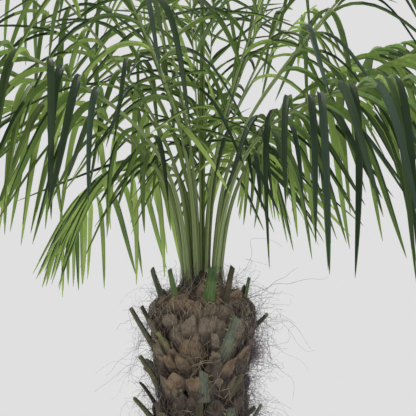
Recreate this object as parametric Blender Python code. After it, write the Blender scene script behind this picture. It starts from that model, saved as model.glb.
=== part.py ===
"""A feather-leaved date palm, rooted in the ground.

One trunk, clad in the bases and cut stalks of its old leaves, carries a crown of arching fronds.
Each frond is two solids: its bare stalk, and its blade, which is a rib with a comb of leaflets.
The origin is the middle of the flat cut at ground level, +Z is up, and the photograph looks along +Y.
Sizes are in metres and angles in degrees. A direction round the trunk is an angle that is 0 on the
side towards the photograph, and 90 on the right of that.
"""

import math
import random
from collections import namedtuple

import bmesh
import bpy
from mathutils import Vector
from mathutils.bvhtree import BVHTree

# Trunk: its height, and its radius under the leaf bases at a few heights
TRUNK_TOP = 1.50
TRUNK_OUTLINE = (
    (0.00, 0.142),
    (0.07, 0.120),
    (0.18, 0.100),
    (0.50, 0.088),
    (1.00, 0.086),
    (1.25, 0.092),
    (1.38, 0.104),
    (1.44, 0.098),
    (1.50, 0.070),
)

# Old leaf bases: diamonds in rows that wind slowly round the trunk
BASES_ROUND = 9
BASE_ROWS = 32
ROW_STEP = TRUNK_TOP / BASE_ROWS
TOP_ROW_ANGLE = 9.0
ROW_TWIST = 1.2
BASE_STANDS_OUT = 0.013
PEAK_ABOVE_MIDDLE = 0.4
UNEVEN_RADIUS, UNEVEN_ANGLE = 0.003, 3.0

# Cut stalks that are left on some of the bases. The photograph shows these, each by its foot's
# direction and height, its lean outwards, its tilt to the right, its length and its width
STUBS_SEEN = (
    (-64, 1.455, 22, 0, 0.076, 0.028),
    (-36, 1.455, 17, -4, 0.070, 0.018),
    (8, 1.442, 17, 5, 0.086, 0.029),
    (29, 1.427, 17, 3, 0.104, 0.020),
    (80, 1.455, 12, 0, 0.056, 0.024),
    (-88, 1.345, 32, 0, 0.118, 0.035),
    (90, 1.375, 45, 0, 0.062, 0.029),
    (-28, 1.322, 30, -22, 0.062, 0.019),
    (28, 1.318, 27, 6, 0.100, 0.031),
    (-80, 1.238, 32, 0, 0.093, 0.034),
    (-100, 1.240, 50, 0, 0.052, 0.028),
    (3, 1.225, 12, 0, 0.056, 0.031),
    (52, 1.228, 38, 4, 0.056, 0.018),
    (-88, 1.150, 42, 0, 0.088, 0.034),
    (60, 1.160, 50, 0, 0.056, 0.028),
    (30, 1.135, 20, 8, 0.066, 0.028),
)
SEEN_DOWN_TO, SEEN_ROUND_TO = 1.15, 95
# How far a stub's foot may lie from its place on the nearest base, in degrees and in metres up
STUB_STRAYS, STUB_STRAYS_UP = 7.0, 0.016
# The others: the share of the bases that have one, from which row up, and their sizes
STUB_SHARE, STUB_ROWS_FROM = 0.36, 3
STUB_WIDTH, THICKNESS_OF_WIDTH = 0.031, 0.45
STUB_FOOT, STUB_END = 1.15, 0.72
STUB_ABOVE_MIDDLE, STUB_INSET = 0.1, 0.008
STUB_LEAN, LEAN_VARIES, STUB_LENGTH = 33.0, 5.0, (0.060, 0.105)
GREEN_STUBS_FROM = 1.39
GREEN_STUB_LEAN, GREEN_STUB_LENGTH = 17.0, (0.060, 0.078)

# Fronds: stalk and rib. Meeting pieces keep the gap between them. By its blade a stalk has these
# shares of the width and thickness of its foot, and the rib thins from there to its end
GAP = 0.0003
RIB_STEPS = 80
STALK_SIDES = 6
STALK_RINGS = 4
STALK_SHARE = 0.22
WIDTH_AT_BLADE, THICKNESS_AT_BLADE, NARROWING = 0.5, 0.8, 1.3
RIB_END = 0.004
EARLY_BEND, EARLY_BEND_BY, EARLY_BEND_POWER = 0.66, 0.26, 2.6
SWEEP = 7.0

# Leaflets, fewer and broader than on the living palm. The longest are this share of the frond.
# They are shorter near the stalk and towards the tip
LEAFLET_SHARE = 0.36
LEAFLET_WIDTH = 0.029
LEAFLET_THICKNESS = 0.0043
LENGTH_AT_STALK, FULL_LENGTH_BY = 0.44, 0.24
LENGTH_AT_TIP, SHORTER_FROM = 0.48, 0.45
# Rings of a leaflet: the first this far from the rib, the second at this share of what is left
FIRST_RING_AT, SECOND_RING_AT = 0.070, 0.42
RING_SIZES = (1.0, 0.9)
LEVEL_FROM = 0.5
FORWARD_AT_STALK, FORWARD_AT_TIP = 54.0, 26.0
LEAFLET_LIFT = 28.0
MOST_DROOP = 0.97
HANG_STEPS = 24
CLEARANCE = 0.0025
# A leaflet that finds no room tries again, each time with more freedom to turn, rise and shorten
TRIES, LEAST_FREEDOM = 7, 0.2
TURNS_BY, DROOPS_BY, SHORTENS_BY = 14.0, (-0.22, 0.10), 0.25

# Whorls of the crown, from the outside in: radius of the ring of stalks, a stalk's width and
# thickness at its foot, its leaflets' length beside the longest, how many a side it has, and how
# soon they bend over
WHORLS = {
    "outer": (0.0440, 0.0250, 0.0115, 1.00, 12, 4.5),
    "middle": (0.0285, 0.0195, 0.0095, 0.94, 11, 4.0),
    "inner": (0.0165, 0.0145, 0.0080, 0.84, 9, 3.4),
    "centre": (0.0092, 0.0085, 0.0060, 0.70, 7, 3.0),
}

# Each frond: its whorl, its direction, its rise at the foot, how much it bends over by its tip, its
# length, and how far its leaflets droop
FRONDS = (
    ("outer", 48, 82, 118, 1.60, 0.95),
    ("outer", 96, 84, 76, 1.42, 0.84),
    ("outer", 131, 85, 68, 1.38, 0.76),
    ("outer", 167, 84, 92, 1.36, 0.80),
    ("outer", -156, 83, 112, 1.38, 0.80),
    ("outer", -121, 84, 88, 1.38, 0.76),
    ("outer", -87, 84, 84, 1.42, 0.88),
    ("outer", -53, 84, 92, 1.42, 0.93),
    ("middle", 74, 86, 52, 1.50, 0.86),
    ("middle", 112, 86, 48, 1.46, 0.80),
    ("middle", 152, 86, 58, 1.44, 0.78),
    ("middle", -162, 86, 48, 1.42, 0.74),
    ("middle", -118, 86, 56, 1.44, 0.80),
    ("middle", -76, 86, 50, 1.46, 0.84),
    ("middle", -30, 86, 60, 1.50, 0.84),
    ("inner", 40, 88, 38, 1.36, 0.70),
    ("inner", 112, 88, 34, 1.36, 0.74),
    ("inner", -176, 88, 36, 1.32, 0.68),
    ("inner", -104, 88, 38, 1.38, 0.76),
    ("inner", -32, 88, 34, 1.38, 0.72),
    ("centre", 80, 89, 26, 1.22, 0.62),
    ("centre", 170, 89, 24, 1.18, 0.60),
    ("centre", -100, 89, 28, 1.22, 0.64),
    ("centre", -12, 89, 26, 1.20, 0.60),
)

# The youngest leaf, a closed spear: its height, and its radius at shares of that height
SPEAR_HEIGHT = 0.95
SPEAR_SIDES = 6
SPEAR_SHAPE = ((0.0, 0.0055), (0.35, 0.0082), (0.75, 0.0060), (1.0, 0.0014))

UP = Vector((0, 0, 1))
Stub = namedtuple("Stub", "direction height lean tilt length width")
# Corners of a section, as signs across and upwards, in order round it
CORNERS = ((-1, 1), (1, 1), (1, -1), (-1, -1))


def remove_startup_objects():
    for obj in list(bpy.data.objects):
        bpy.data.objects.remove(obj)


def material(name, colour, roughness):
    """A Principled material of one colour."""
    made = bpy.data.materials.new(name)
    made.use_nodes = True
    shader = made.node_tree.nodes["Principled BSDF"]
    shader.inputs["Base Color"].default_value = (*colour, 1)
    shader.inputs["Roughness"].default_value = roughness
    shader.inputs["Metallic"].default_value = 0.0
    return made


def object_from(bm, name, finish, parent, origin):
    """Closes the mesh and turns its faces out, and makes it a named object with that origin."""
    open_edges = [edge for edge in bm.edges if edge.is_boundary]
    if open_edges:
        bmesh.ops.holes_fill(bm, edges=open_edges, sides=0)
    bmesh.ops.recalc_face_normals(bm, faces=bm.faces)
    bmesh.ops.translate(bm, verts=bm.verts, vec=-origin)
    mesh = bpy.data.meshes.new(name)
    bm.to_mesh(mesh)
    bm.free()
    mesh.materials.append(finish)
    mesh.shade_smooth()
    mesh.set_sharp_from_angle(angle=math.radians(40))
    made = bpy.data.objects.new(name, mesh)
    made.location = origin
    made.parent = parent
    bpy.context.collection.objects.link(made)
    return made


def smooth(x):
    x = min(max(x, 0.0), 1.0)
    return x * x * (3 - 2 * x)


def around(direction, radius, height):
    """The point at that direction and distance from the trunk's axis."""
    angle = math.radians(direction)
    return Vector((radius * math.sin(angle), -radius * math.cos(angle), height))


def grow(bm, face, points):
    """Extrudes one face and puts its corners, in their order, at the points."""
    grown = bmesh.ops.extrude_discrete_faces(bm, faces=[face])["faces"][0]
    for vert, point in zip(grown.verts, points):
        vert.co = point
    return grown


# Trunk


def trunk_radius(height):
    """The outline's radius at a height, eased between its points."""
    for (low, r_low), (high, r_high) in zip(TRUNK_OUTLINE, TRUNK_OUTLINE[1:]):
        if height <= high:
            return r_low + (r_high - r_low) * smooth((height - low) / (high - low))
    return TRUNK_OUTLINE[-1][1]


def base_direction(row, place):
    """The direction of a leaf base. Each row is shifted by half a base, and a little more."""
    rows_down = BASE_ROWS - 1 - row
    turn = TOP_ROW_ANGLE + (place + 0.5 * (rows_down % 2)) * 360 / BASES_ROUND + rows_down * ROW_TWIST
    return (turn + 180) % 360 - 180


def foot_height(base):
    """The height of a stub's foot, a little above the middle of its base."""
    return (base[0] + STUB_ABOVE_MIDDLE) * ROW_STEP


def stray(angle, middle):
    """The angle, no further from the middle than a stub's foot may stray on its base."""
    turn = (angle - middle + 180) % 360 - 180
    return middle + min(max(turn, -STUB_STRAYS), STUB_STRAYS)


def stubs():
    """The bases with a cut stalk, as {(row, place): Stub}. A stub in view takes the nearest base."""
    rng = random.Random(11)
    bases = [(row, place) for row in range(STUB_ROWS_FROM, BASE_ROWS) for place in range(BASES_ROUND)]
    found = {}
    for seen in (Stub(*facts) for facts in STUBS_SEEN):

        def distance(base):
            turn = (base_direction(*base) - seen.direction + 180) % 360 - 180
            return math.hypot(math.radians(turn) * trunk_radius(seen.height), foot_height(base) - seen.height)

        base = min((base for base in bases if base not in found), key=distance)
        low, high = foot_height(base) - STUB_STRAYS_UP, foot_height(base) + STUB_STRAYS_UP
        direction = stray(seen.direction, base_direction(*base))
        found[base] = seen._replace(direction=direction, height=min(max(seen.height, low), high))
    for base in bases:
        height = foot_height(base)
        in_view = height > SEEN_DOWN_TO and abs(base_direction(*base)) < SEEN_ROUND_TO
        if rng.random() < STUB_SHARE and not in_view and base not in found:
            green = height > GREEN_STUBS_FROM
            lean = (GREEN_STUB_LEAN if green else STUB_LEAN) + rng.uniform(-LEAN_VARIES, LEAN_VARIES)
            length = rng.uniform(*(GREEN_STUB_LENGTH if green else STUB_LENGTH))
            found[base] = Stub(base_direction(*base), height, lean, 0, length, STUB_WIDTH)
    return found


def trunk_net(bm):
    """The trunk's skin, as diamonds between three rows of points, with half diamonds at both ends.

    Returns the diamonds as (row, place, face).
    """
    rng = random.Random(5)
    half = 180 / BASES_ROUND
    rows = []
    for row in range(BASE_ROWS + 1):
        uneven = 0 if row in (0, BASE_ROWS) else 1
        verts = []
        for place in range(BASES_ROUND):
            turn = base_direction(row, place) - half + uneven * rng.uniform(-UNEVEN_ANGLE, UNEVEN_ANGLE)
            radius = trunk_radius(row * ROW_STEP) + uneven * rng.uniform(-UNEVEN_RADIUS, UNEVEN_RADIUS)
            verts.append(bm.verts.new(around(turn, radius, row * ROW_STEP)))
        rows.append(verts)

    def nearest(row, place):
        """The point of another row that stands in the middle of this base."""
        middle = base_direction(*place)
        turns = [abs((base_direction(row, k) - half - middle + 180) % 360 - 180) for k in range(BASES_ROUND)]
        return rows[row][turns.index(min(turns))]

    diamonds = []
    for row in range(BASE_ROWS + 1):
        for place in range(BASES_ROUND):
            corners = [rows[row][place]]
            if row > 0:
                corners.append(nearest(row - 1, (row, place)))
            corners.append(rows[row][(place + 1) % BASES_ROUND])
            if row < BASE_ROWS:
                corners.append(nearest(row + 1, (row, place)))
            face = bm.faces.new(corners)
            if len(corners) == 4:
                diamonds.append((row, place, face))
    return diamonds


def raise_base(bm, row, place, face):
    """One leaf base: the diamond rises to a point above its middle, like a scale."""
    height = (row + PEAK_ABOVE_MIDDLE) * ROW_STEP
    point = around(base_direction(row, place), trunk_radius(height) + BASE_STANDS_OUT, height)
    poked = bmesh.ops.poke(bm, faces=[face])["verts"][0]
    poked.co = point


def raise_stub(bm, face, stub):
    """One leaf base with its cut stalk: the diamond is inset, and the inner face grows up and out."""
    root = around(stub.direction, trunk_radius(stub.height) + BASE_STANDS_OUT, stub.height)
    outwards = around(stub.direction, 1, 0)
    sideways = around(stub.direction + 90, 1, 0)
    lean, tilt = math.radians(stub.lean), math.radians(stub.tilt)
    along = (outwards * math.tan(lean) + sideways * math.tan(tilt) + UP).normalized()
    across = (sideways - along * along.dot(sideways)).normalized()
    through = across.cross(along)
    bmesh.ops.inset_individual(bm, faces=[face], thickness=STUB_INSET)
    middle = face.calc_center_median()

    def section(centre, size):
        """The diamond's four corners, moved to the middles of the stalk's four sides."""
        half = stub.width / 2 * size
        points = []
        for vert in face.verts:
            aside = (vert.co - middle).dot(sideways)
            upwards = vert.co.z - middle.z
            if abs(aside) > abs(upwards):
                points.append(centre + across * math.copysign(half, aside))
            else:
                points.append(centre - through * math.copysign(half * THICKNESS_OF_WIDTH, upwards))
        return points

    foot, end = section(root, STUB_FOOT), section(root + along * stub.length, STUB_END)
    for vert, point in zip(face.verts, foot):
        vert.co = point
    grow(bm, face, end)


def make_trunk(finish, parent):
    bm = bmesh.new()
    kept = stubs()
    for row, place, face in trunk_net(bm):
        if (row, place) in kept:
            raise_stub(bm, face, kept[row, place])
        else:
            raise_base(bm, row, place, face)
    return object_from(bm, "trunk", finish, parent, Vector())


# Fronds


class Frond:
    """Where one frond's rib runs, and how its leaflets leave it."""

    def __init__(self, number, whorl, direction, rise, bend, length, droop):
        self.name = f"frond_{number:02d}"
        foot_radius, self.width, self.thickness, *of_leaflets = WHORLS[whorl]
        self.leaflets, self.pairs, self.quickness = of_leaflets
        self.direction, self.rise, self.bend = direction, rise, bend
        self.length, self.droop = length, droop
        self.rng = random.Random(100 + number)
        self.sweep = self.rng.uniform(-SWEEP, SWEEP)
        self.stalk = STALK_SHARE * length
        self.points = [around(direction, foot_radius, TRUNK_TOP + GAP)]
        for index in range(RIB_STEPS):
            step = self.tangent((index + 0.5) / RIB_STEPS) * (length / RIB_STEPS)
            self.points.append(self.points[-1] + step)

    def heading(self, share):
        """The level direction outwards, which sweeps a little to one side."""
        return around(self.direction + self.sweep * share * share, 1, 0)

    def tangent(self, share):
        """The rib bends most where its bare stalk ends, and then ever more slowly."""
        early = 1 - math.exp(-((share / EARLY_BEND_BY) ** EARLY_BEND_POWER))
        bent = EARLY_BEND * early + (1 - EARLY_BEND) * share * share
        climb = math.radians(self.rise - self.bend * bent)
        return self.heading(share) * math.cos(climb) + UP * math.sin(climb)

    def at(self, along):
        """Point, tangent, side and upper normal at a distance along the rib."""
        share = min(max(along / self.length, 0.0), 1.0)
        place = share * RIB_STEPS
        index = min(int(place), RIB_STEPS - 1)
        point = self.points[index].lerp(self.points[index + 1], place - index)
        tangent = self.tangent(share)
        side = UP.cross(self.heading(share))
        return point, tangent, side, tangent.cross(side)

    def section(self, along):
        """Width and thickness of the stalk or rib."""
        if along < self.stalk:
            left = 1 - along / self.stalk
            wide = self.width * (WIDTH_AT_BLADE + (1 - WIDTH_AT_BLADE) * left**NARROWING)
            thick = self.thickness * (THICKNESS_AT_BLADE + (1 - THICKNESS_AT_BLADE) * left)
            return wide, thick
        left = (self.length - along) / (self.length - self.stalk)
        wide = RIB_END + (self.width * WIDTH_AT_BLADE - RIB_END) * left
        thick = RIB_END + (self.thickness * THICKNESS_AT_BLADE - RIB_END) * left
        return wide, thick

    def rib_corners(self, along):
        point, tangent, side, normal = self.at(along)
        width, thickness = self.section(along)
        return [point + side * (a * width / 2) + normal * (b * thickness / 2) for a, b in CORNERS]

    def stations(self):
        """Distances along the rib of its sections. A leaflet grows between each two of them."""
        start = self.stalk + GAP / 2
        count = 2 * self.pairs
        return [start + (self.length - start) * index / count for index in range(count + 1)]

    def leaflet(self, along, side_sign, more_forward, more_droop, scale):
        """The line of one leaflet: it leaves the rib forwards and aside, then hangs."""
        share = (along - self.stalk) / (self.length - self.stalk)
        point, tangent, side, normal = self.at(along)
        forward = FORWARD_AT_STALK + (FORWARD_AT_TIP - FORWARD_AT_STALK) * share + more_forward
        forward, lift = math.radians(forward), math.radians(LEAFLET_LIFT)
        outward = side * (side_sign * math.cos(lift)) + normal * math.sin(lift)
        start = tangent * math.cos(forward) + outward * math.sin(forward)
        across = tangent * math.sin(forward) - outward * math.cos(forward)
        grown = LENGTH_AT_STALK + (1 - LENGTH_AT_STALK) * smooth(share / FULL_LENGTH_BY)
        fading = 1 - (1 - LENGTH_AT_TIP) * smooth((share - SHORTER_FROM) / (1 - SHORTER_FROM))
        length = LEAFLET_SHARE * self.length * self.leaflets * grown * fading * scale
        droop = min(self.droop + more_droop, MOST_DROOP)
        return Hanging(point, start, across, length, droop, self.quickness)


class Hanging:
    """The bent line of a leaflet, which bends most at its root, with the way that its width lies."""

    def __init__(self, root, start, across, length, droop, quickness):
        self.across = across
        self.level = start.cross(UP).normalized()
        if self.level.dot(across) < 0:
            self.level.negate()
        axis = UP.cross(start).normalized()
        reach = start.angle(-UP)
        first_ring = FIRST_RING_AT / length
        self.rings = list(zip((first_ring, first_ring + (1 - first_ring) * SECOND_RING_AT), RING_SIZES))
        self.points, self.headings = [root.copy()], [start.copy()]
        for index in range(HANG_STEPS):
            u = (index + 0.5) / HANG_STEPS
            turn = reach * droop * (1 - (1 - u) ** quickness)
            heading = start * math.cos(turn) + axis.cross(start) * math.sin(turn)
            self.points.append(self.points[-1] + heading * (length / HANG_STEPS))
            self.headings.append(heading)
        first = self.across.cross(start)
        self.upper_sign = 1 if first.dot(UP) >= 0 else -1

    def section(self, u, width, thickness, signs):
        """Corners at a share of the length, one for each pair of signs (along the rib, upwards)."""
        place = u * HANG_STEPS
        index = min(int(place), HANG_STEPS - 1)
        point = self.points[index].lerp(self.points[index + 1], place - index)
        heading = self.headings[index].lerp(self.headings[index + 1], place - index).normalized()
        across = self.across.lerp(self.level, smooth(u / LEVEL_FROM))
        across = (across - heading * across.dot(heading)).normalized()
        upper = across.cross(heading) * self.upper_sign
        return [point + across * (a * width / 2) + upper * (b * thickness / 2) for a, b in signs]


def make_stalk(frond, finish, parent):
    """The bare stalk, from its level foot on the trunk's top to the blade."""
    bm = bmesh.new()
    face = None
    for index in range(STALK_RINGS + 1):
        along = frond.stalk * index / STALK_RINGS - (GAP / 2 if index == STALK_RINGS else 0)
        point, tangent, side, normal = frond.at(along)
        width, thickness = frond.section(along)
        if index == 0:
            normal = -frond.heading(0)
        ring = []
        for corner in range(STALK_SIDES):
            turn = 2 * math.pi * (corner + 0.5) / STALK_SIDES
            across = side * (math.cos(turn) * width / 2)
            ring.append(point + across + normal * (math.sin(turn) * thickness / 2))
        face = grow(bm, face, ring) if face else bm.faces.new([bm.verts.new(point) for point in ring])
    return object_from(bm, f"{frond.name}_stalk", finish, parent, frond.points[0])


class Space:
    """Surfaces that a new leaflet must not touch."""

    def __init__(self):
        self.points, self.faces = [], []
        self.tree = None

    def add(self, points, faces):
        base = len(self.points)
        self.points += points
        self.faces += [tuple(base + corner for corner in face) for face in faces]
        self.tree = None

    def add_object(self, obj):
        points = [obj.location + vert.co for vert in obj.data.vertices]
        self.add(points, [tuple(face.vertices) for face in obj.data.polygons])

    def touches(self, points, faces):
        if not self.faces:
            return False
        if self.tree is None:
            self.tree = BVHTree.FromPolygons(self.points, self.faces)
        return bool(self.tree.overlap(BVHTree.FromPolygons(points, faces)))


def tube(rings):
    """Points and side triangles of a tube through rings whose corners are in the order of CORNERS.

    Its top and its bottom are cut along the same diagonal, as a leaflet's are.
    """
    faces = []
    for a in range(0, 4 * (len(rings) - 1), 4):
        b = a + 4
        faces += [(a, a + 1, b + 1), (a, b + 1, b), (a + 1, a + 2, b + 2), (a + 1, b + 2, b + 1)]
        faces += [(a + 2, a + 3, b + 2), (a + 3, b + 3, b + 2), (a + 3, a, b), (a + 3, b, b + 3)]
    return [point for ring in rings for point in ring], faces


def swollen(line, root):
    """A leaflet's shape, thicker by the clearance, from the rib's side to its tip."""
    middle = sum(root, Vector()) / 4
    rings = [[corner + (corner - middle).normalized() * CLEARANCE / 2 for corner in root]]
    for u, size in line.rings:
        rings.append(
            line.section(u, LEAFLET_WIDTH * size + CLEARANCE, LEAFLET_THICKNESS + CLEARANCE, CORNERS)
        )
    rings.append([line.points[-1]] * 4)
    return tube(rings)


def place_leaflets(frond, limbs, leaves):
    """The leaflets of one frond, as (station, side, line).

    Each tries a few lines until it stays clear of the limbs and of the leaves placed before it,
    and is left out if none does.
    """
    stations = frond.stations()
    corners = [frond.rib_corners(along) for along in stations]
    placed = []
    for index in range(len(stations) - 1):
        side_sign = 1 if index % 2 == 0 else -1
        along = (stations[index] + stations[index + 1]) / 2
        top, bottom = (1, 2) if side_sign > 0 else (0, 3)
        before, after = corners[index], corners[index + 1]
        root = [before[top], after[top], after[bottom], before[bottom]]
        for attempt in range(TRIES):
            freedom = LEAST_FREEDOM + attempt / TRIES
            more_forward = frond.rng.uniform(-TURNS_BY, TURNS_BY) * freedom
            more_droop = frond.rng.uniform(*DROOPS_BY) * freedom
            scale = 1.0 - SHORTENS_BY * frond.rng.random() * (attempt / TRIES)
            line = frond.leaflet(along, side_sign, more_forward, more_droop, scale)
            shape = swollen(line, root)
            if not limbs.touches(*shape) and not leaves.touches(*shape):
                leaves.add(*shape)
                placed.append((index, side_sign, line))
                break
    return placed


def cut_alike(bm, before, after, signs):
    """Cuts the top and the bottom between two sections along the same diagonal.

    They turn alike there, so a thin leaflet that twists doesn't cut through itself.
    """
    for level in (-1, 1):
        pair = [before[signs.index((-1, level))], after[signs.index((1, level))]]
        bmesh.ops.connect_verts(bm, verts=pair)


def make_blade(frond, placed, finish, parent):
    """The rib, grown ring by ring, with each leaflet grown from the side of one stretch of it."""
    bm = bmesh.new()
    stations = frond.stations()
    rings = [[bm.verts.new(point) for point in frond.rib_corners(stations[0])]]
    face = bm.faces.new(rings[0])
    for along in stations[1:]:
        face = grow(bm, face, frond.rib_corners(along))
        rings.append(list(face.verts))

    def side_face(index, side_sign):
        top, bottom = (1, 2) if side_sign > 0 else (0, 3)
        corners = {ring[k] for ring in rings[index : index + 2] for k in (top, bottom)}
        return next(face for face in rings[index + 1][top].link_faces if set(face.verts) == corners)

    roots = [side_face(index, side_sign) for index, side_sign, line in placed]
    for (index, side_sign, line), face in zip(placed, roots):
        after = rings[index + 1]
        upper = rings[index][:2] + after[:2]
        signs = [(1 if vert in after else -1, 1 if vert in upper else -1) for vert in face.verts]
        for u, size in line.rings:
            before = list(face.verts)
            face = grow(bm, face, line.section(u, LEAFLET_WIDTH * size, LEAFLET_THICKNESS, signs))
            cut_alike(bm, before, list(face.verts), signs)
        tip = grow(bm, face, [vert.co.copy() for vert in face.verts])
        bmesh.ops.pointmerge(bm, verts=list(tip.verts), merge_co=line.points[-1])
    return object_from(bm, f"{frond.name}_blade", finish, parent, frond.points[0])


def make_spear(finish, parent):
    bm = bmesh.new()
    face = None
    foot = Vector((0, 0, TRUNK_TOP + GAP))
    for share, radius in SPEAR_SHAPE:
        height = foot.z + SPEAR_HEIGHT * share
        ring = [around(360 * corner / SPEAR_SIDES, radius, height) for corner in range(SPEAR_SIDES)]
        face = grow(bm, face, ring) if face else bm.faces.new([bm.verts.new(point) for point in ring])
    return object_from(bm, "spear", finish, parent, foot)


def main():
    remove_startup_objects()
    bark = material("bark", (0.17, 0.12, 0.08), 0.9)
    stalk_green = material("stalk_green", (0.20, 0.27, 0.09), 0.5)
    leaf_green = material("leaf_green", (0.10, 0.19, 0.07), 0.5)
    palm = bpy.data.objects.new("palm", None)
    bpy.context.collection.objects.link(palm)

    fronds = [Frond(number, *facts) for number, facts in enumerate(FRONDS, 1)]
    limbs = [make_trunk(bark, palm), make_spear(leaf_green, palm)]
    limbs += [make_stalk(frond, stalk_green, palm) for frond in fronds]
    leaves = Space()
    for frond in fronds:
        others = Space()
        for limb in limbs:
            others.add_object(limb)
        for other in fronds:
            if other is not frond:
                others.add(*tube([other.rib_corners(along) for along in other.stations()]))
        make_blade(frond, place_leaflets(frond, others, leaves), leaf_green, palm)


main()
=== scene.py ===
# %% [markdown]
# # A shaggy young date palm
# The CAD palm is right in size and place, but plain: a trunk of diamonds and fronds of broad, flat teeth.
# This lesson grows the real thing round it. Everything that repeats, such as a leaflet, a husk or a fibre,
# is modelled once by hand, and then copied along lines that follow the same laws as the CAD palm.

# %% The fixed CAD palm
import math
import random
from collections import namedtuple

import bmesh
import bpy
import numpy as np
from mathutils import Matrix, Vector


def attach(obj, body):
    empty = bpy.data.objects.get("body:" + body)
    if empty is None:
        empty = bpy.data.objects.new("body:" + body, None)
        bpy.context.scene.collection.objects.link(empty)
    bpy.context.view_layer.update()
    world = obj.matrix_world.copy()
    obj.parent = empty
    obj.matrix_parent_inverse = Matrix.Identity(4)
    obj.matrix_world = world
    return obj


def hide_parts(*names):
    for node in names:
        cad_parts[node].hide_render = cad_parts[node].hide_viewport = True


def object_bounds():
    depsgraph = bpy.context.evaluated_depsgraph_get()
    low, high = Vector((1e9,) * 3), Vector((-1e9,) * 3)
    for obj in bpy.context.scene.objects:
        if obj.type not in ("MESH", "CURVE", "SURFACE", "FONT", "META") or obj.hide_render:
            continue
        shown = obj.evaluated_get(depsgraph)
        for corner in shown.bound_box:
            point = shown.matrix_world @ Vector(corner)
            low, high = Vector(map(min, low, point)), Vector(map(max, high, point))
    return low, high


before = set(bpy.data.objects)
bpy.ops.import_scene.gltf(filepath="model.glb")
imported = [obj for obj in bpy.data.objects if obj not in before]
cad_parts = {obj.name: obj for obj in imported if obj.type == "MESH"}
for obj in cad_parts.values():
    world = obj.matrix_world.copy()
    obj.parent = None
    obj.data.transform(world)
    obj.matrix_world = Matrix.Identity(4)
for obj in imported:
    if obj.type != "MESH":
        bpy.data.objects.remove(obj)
CAD_BOX = [list(corner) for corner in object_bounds()]
bpy.ops.object.select_all(action="DESELECT")
print("CAD box", CAD_BOX)

# %% [markdown]
# ## Camera, light and room
# The photograph was taken from a little below the crown, looking slightly up, against plain light grey. The
# light is soft and comes from above and behind, so the sides of the leaves that face the camera stay dark.

# %% The camera
FRAME_PX, FOCAL_PX = 416, 960
HORIZON_ROW, TRUNK_COLUMN = 365, 202
SENSOR_WIDTH = 36
camera = bpy.data.objects.new("camera", bpy.data.cameras.new("camera"))
bpy.context.collection.objects.link(camera)
camera.data.sensor_width = SENSOR_WIDTH
camera.data.lens = SENSOR_WIDTH * FOCAL_PX / FRAME_PX
camera.location = (0, -2.40, 1.295)
camera_tilt = math.atan((HORIZON_ROW - FRAME_PX / 2) / FOCAL_PX)
camera_turn = math.atan((FRAME_PX / 2 - TRUNK_COLUMN) / FOCAL_PX)
camera.rotation_euler = (math.pi / 2 + camera_tilt, 0, -camera_turn)
bpy.context.scene.camera = camera
print("camera tilts up by", round(math.degrees(camera_tilt), 1), "degrees")

# %% The light
PALE_GREY = 0.745
# name, place, the point it faces, size, power, colour
LIGHTS = (
    ("key_light", (-1.6, 1.9, 4.6), (0, 0, 1.8), 2.4, 190, (1.0, 0.98, 0.94)),
    ("side_light", (3.2, -1.4, 3.4), (0, 0, 1.5), 2.0, 70, (1.0, 1.0, 1.0)),
)


def soft_light(name, place, aim, size, power, colour):
    """A square area light that faces its aim."""
    light = bpy.data.lights.new(name, "AREA")
    light.size, light.energy, light.color = size, power, colour
    holder = bpy.data.objects.new(name, light)
    bpy.context.collection.objects.link(holder)
    holder.location = place
    way = holder.location - Vector(aim)
    holder.rotation_euler = way.to_track_quat("Z", "Y").to_euler()
    print(name, "at", place)


world = bpy.data.worlds.new("studio")
bpy.context.scene.world = world
world.use_nodes = True
world.node_tree.nodes["Background"].inputs["Color"].default_value = (PALE_GREY, PALE_GREY, PALE_GREY, 1)
bpy.context.scene.view_settings.view_transform = "Standard"
for facts in LIGHTS:
    soft_light(*facts)

# %% [markdown]
# ## Finishes
# Every finish is one Principled shader with a few nodes in front of it. Sums of numbers are written as
# plain expressions: the small class below turns each into Math nodes.


# %% Shader maths as expressions
class Value:
    """One output socket, with the usual signs of arithmetic."""

    def __init__(self, finish, socket):
        self.finish, self.socket = finish, socket

    def maths(self, operation, *terms):
        return self.finish.node("ShaderNodeMath", {"operation": operation}, dict(enumerate(terms)))

    def __add__(self, other):
        return self.maths("ADD", self, other)

    def __radd__(self, other):
        return self.maths("ADD", other, self)

    def __sub__(self, other):
        return self.maths("SUBTRACT", self, other)

    def __rsub__(self, other):
        return self.maths("SUBTRACT", other, self)

    def __mul__(self, other):
        return self.maths("MULTIPLY", self, other)

    def __rmul__(self, other):
        return self.maths("MULTIPLY", other, self)

    def over(self, low, high):
        """0 below low, 1 above high, eased between."""
        settings = {"interpolation_type": "SMOOTHSTEP"}
        places = {"Value": self, "From Min": low, "From Max": high}
        return self.finish.node("ShaderNodeMapRange", settings, places)


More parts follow.
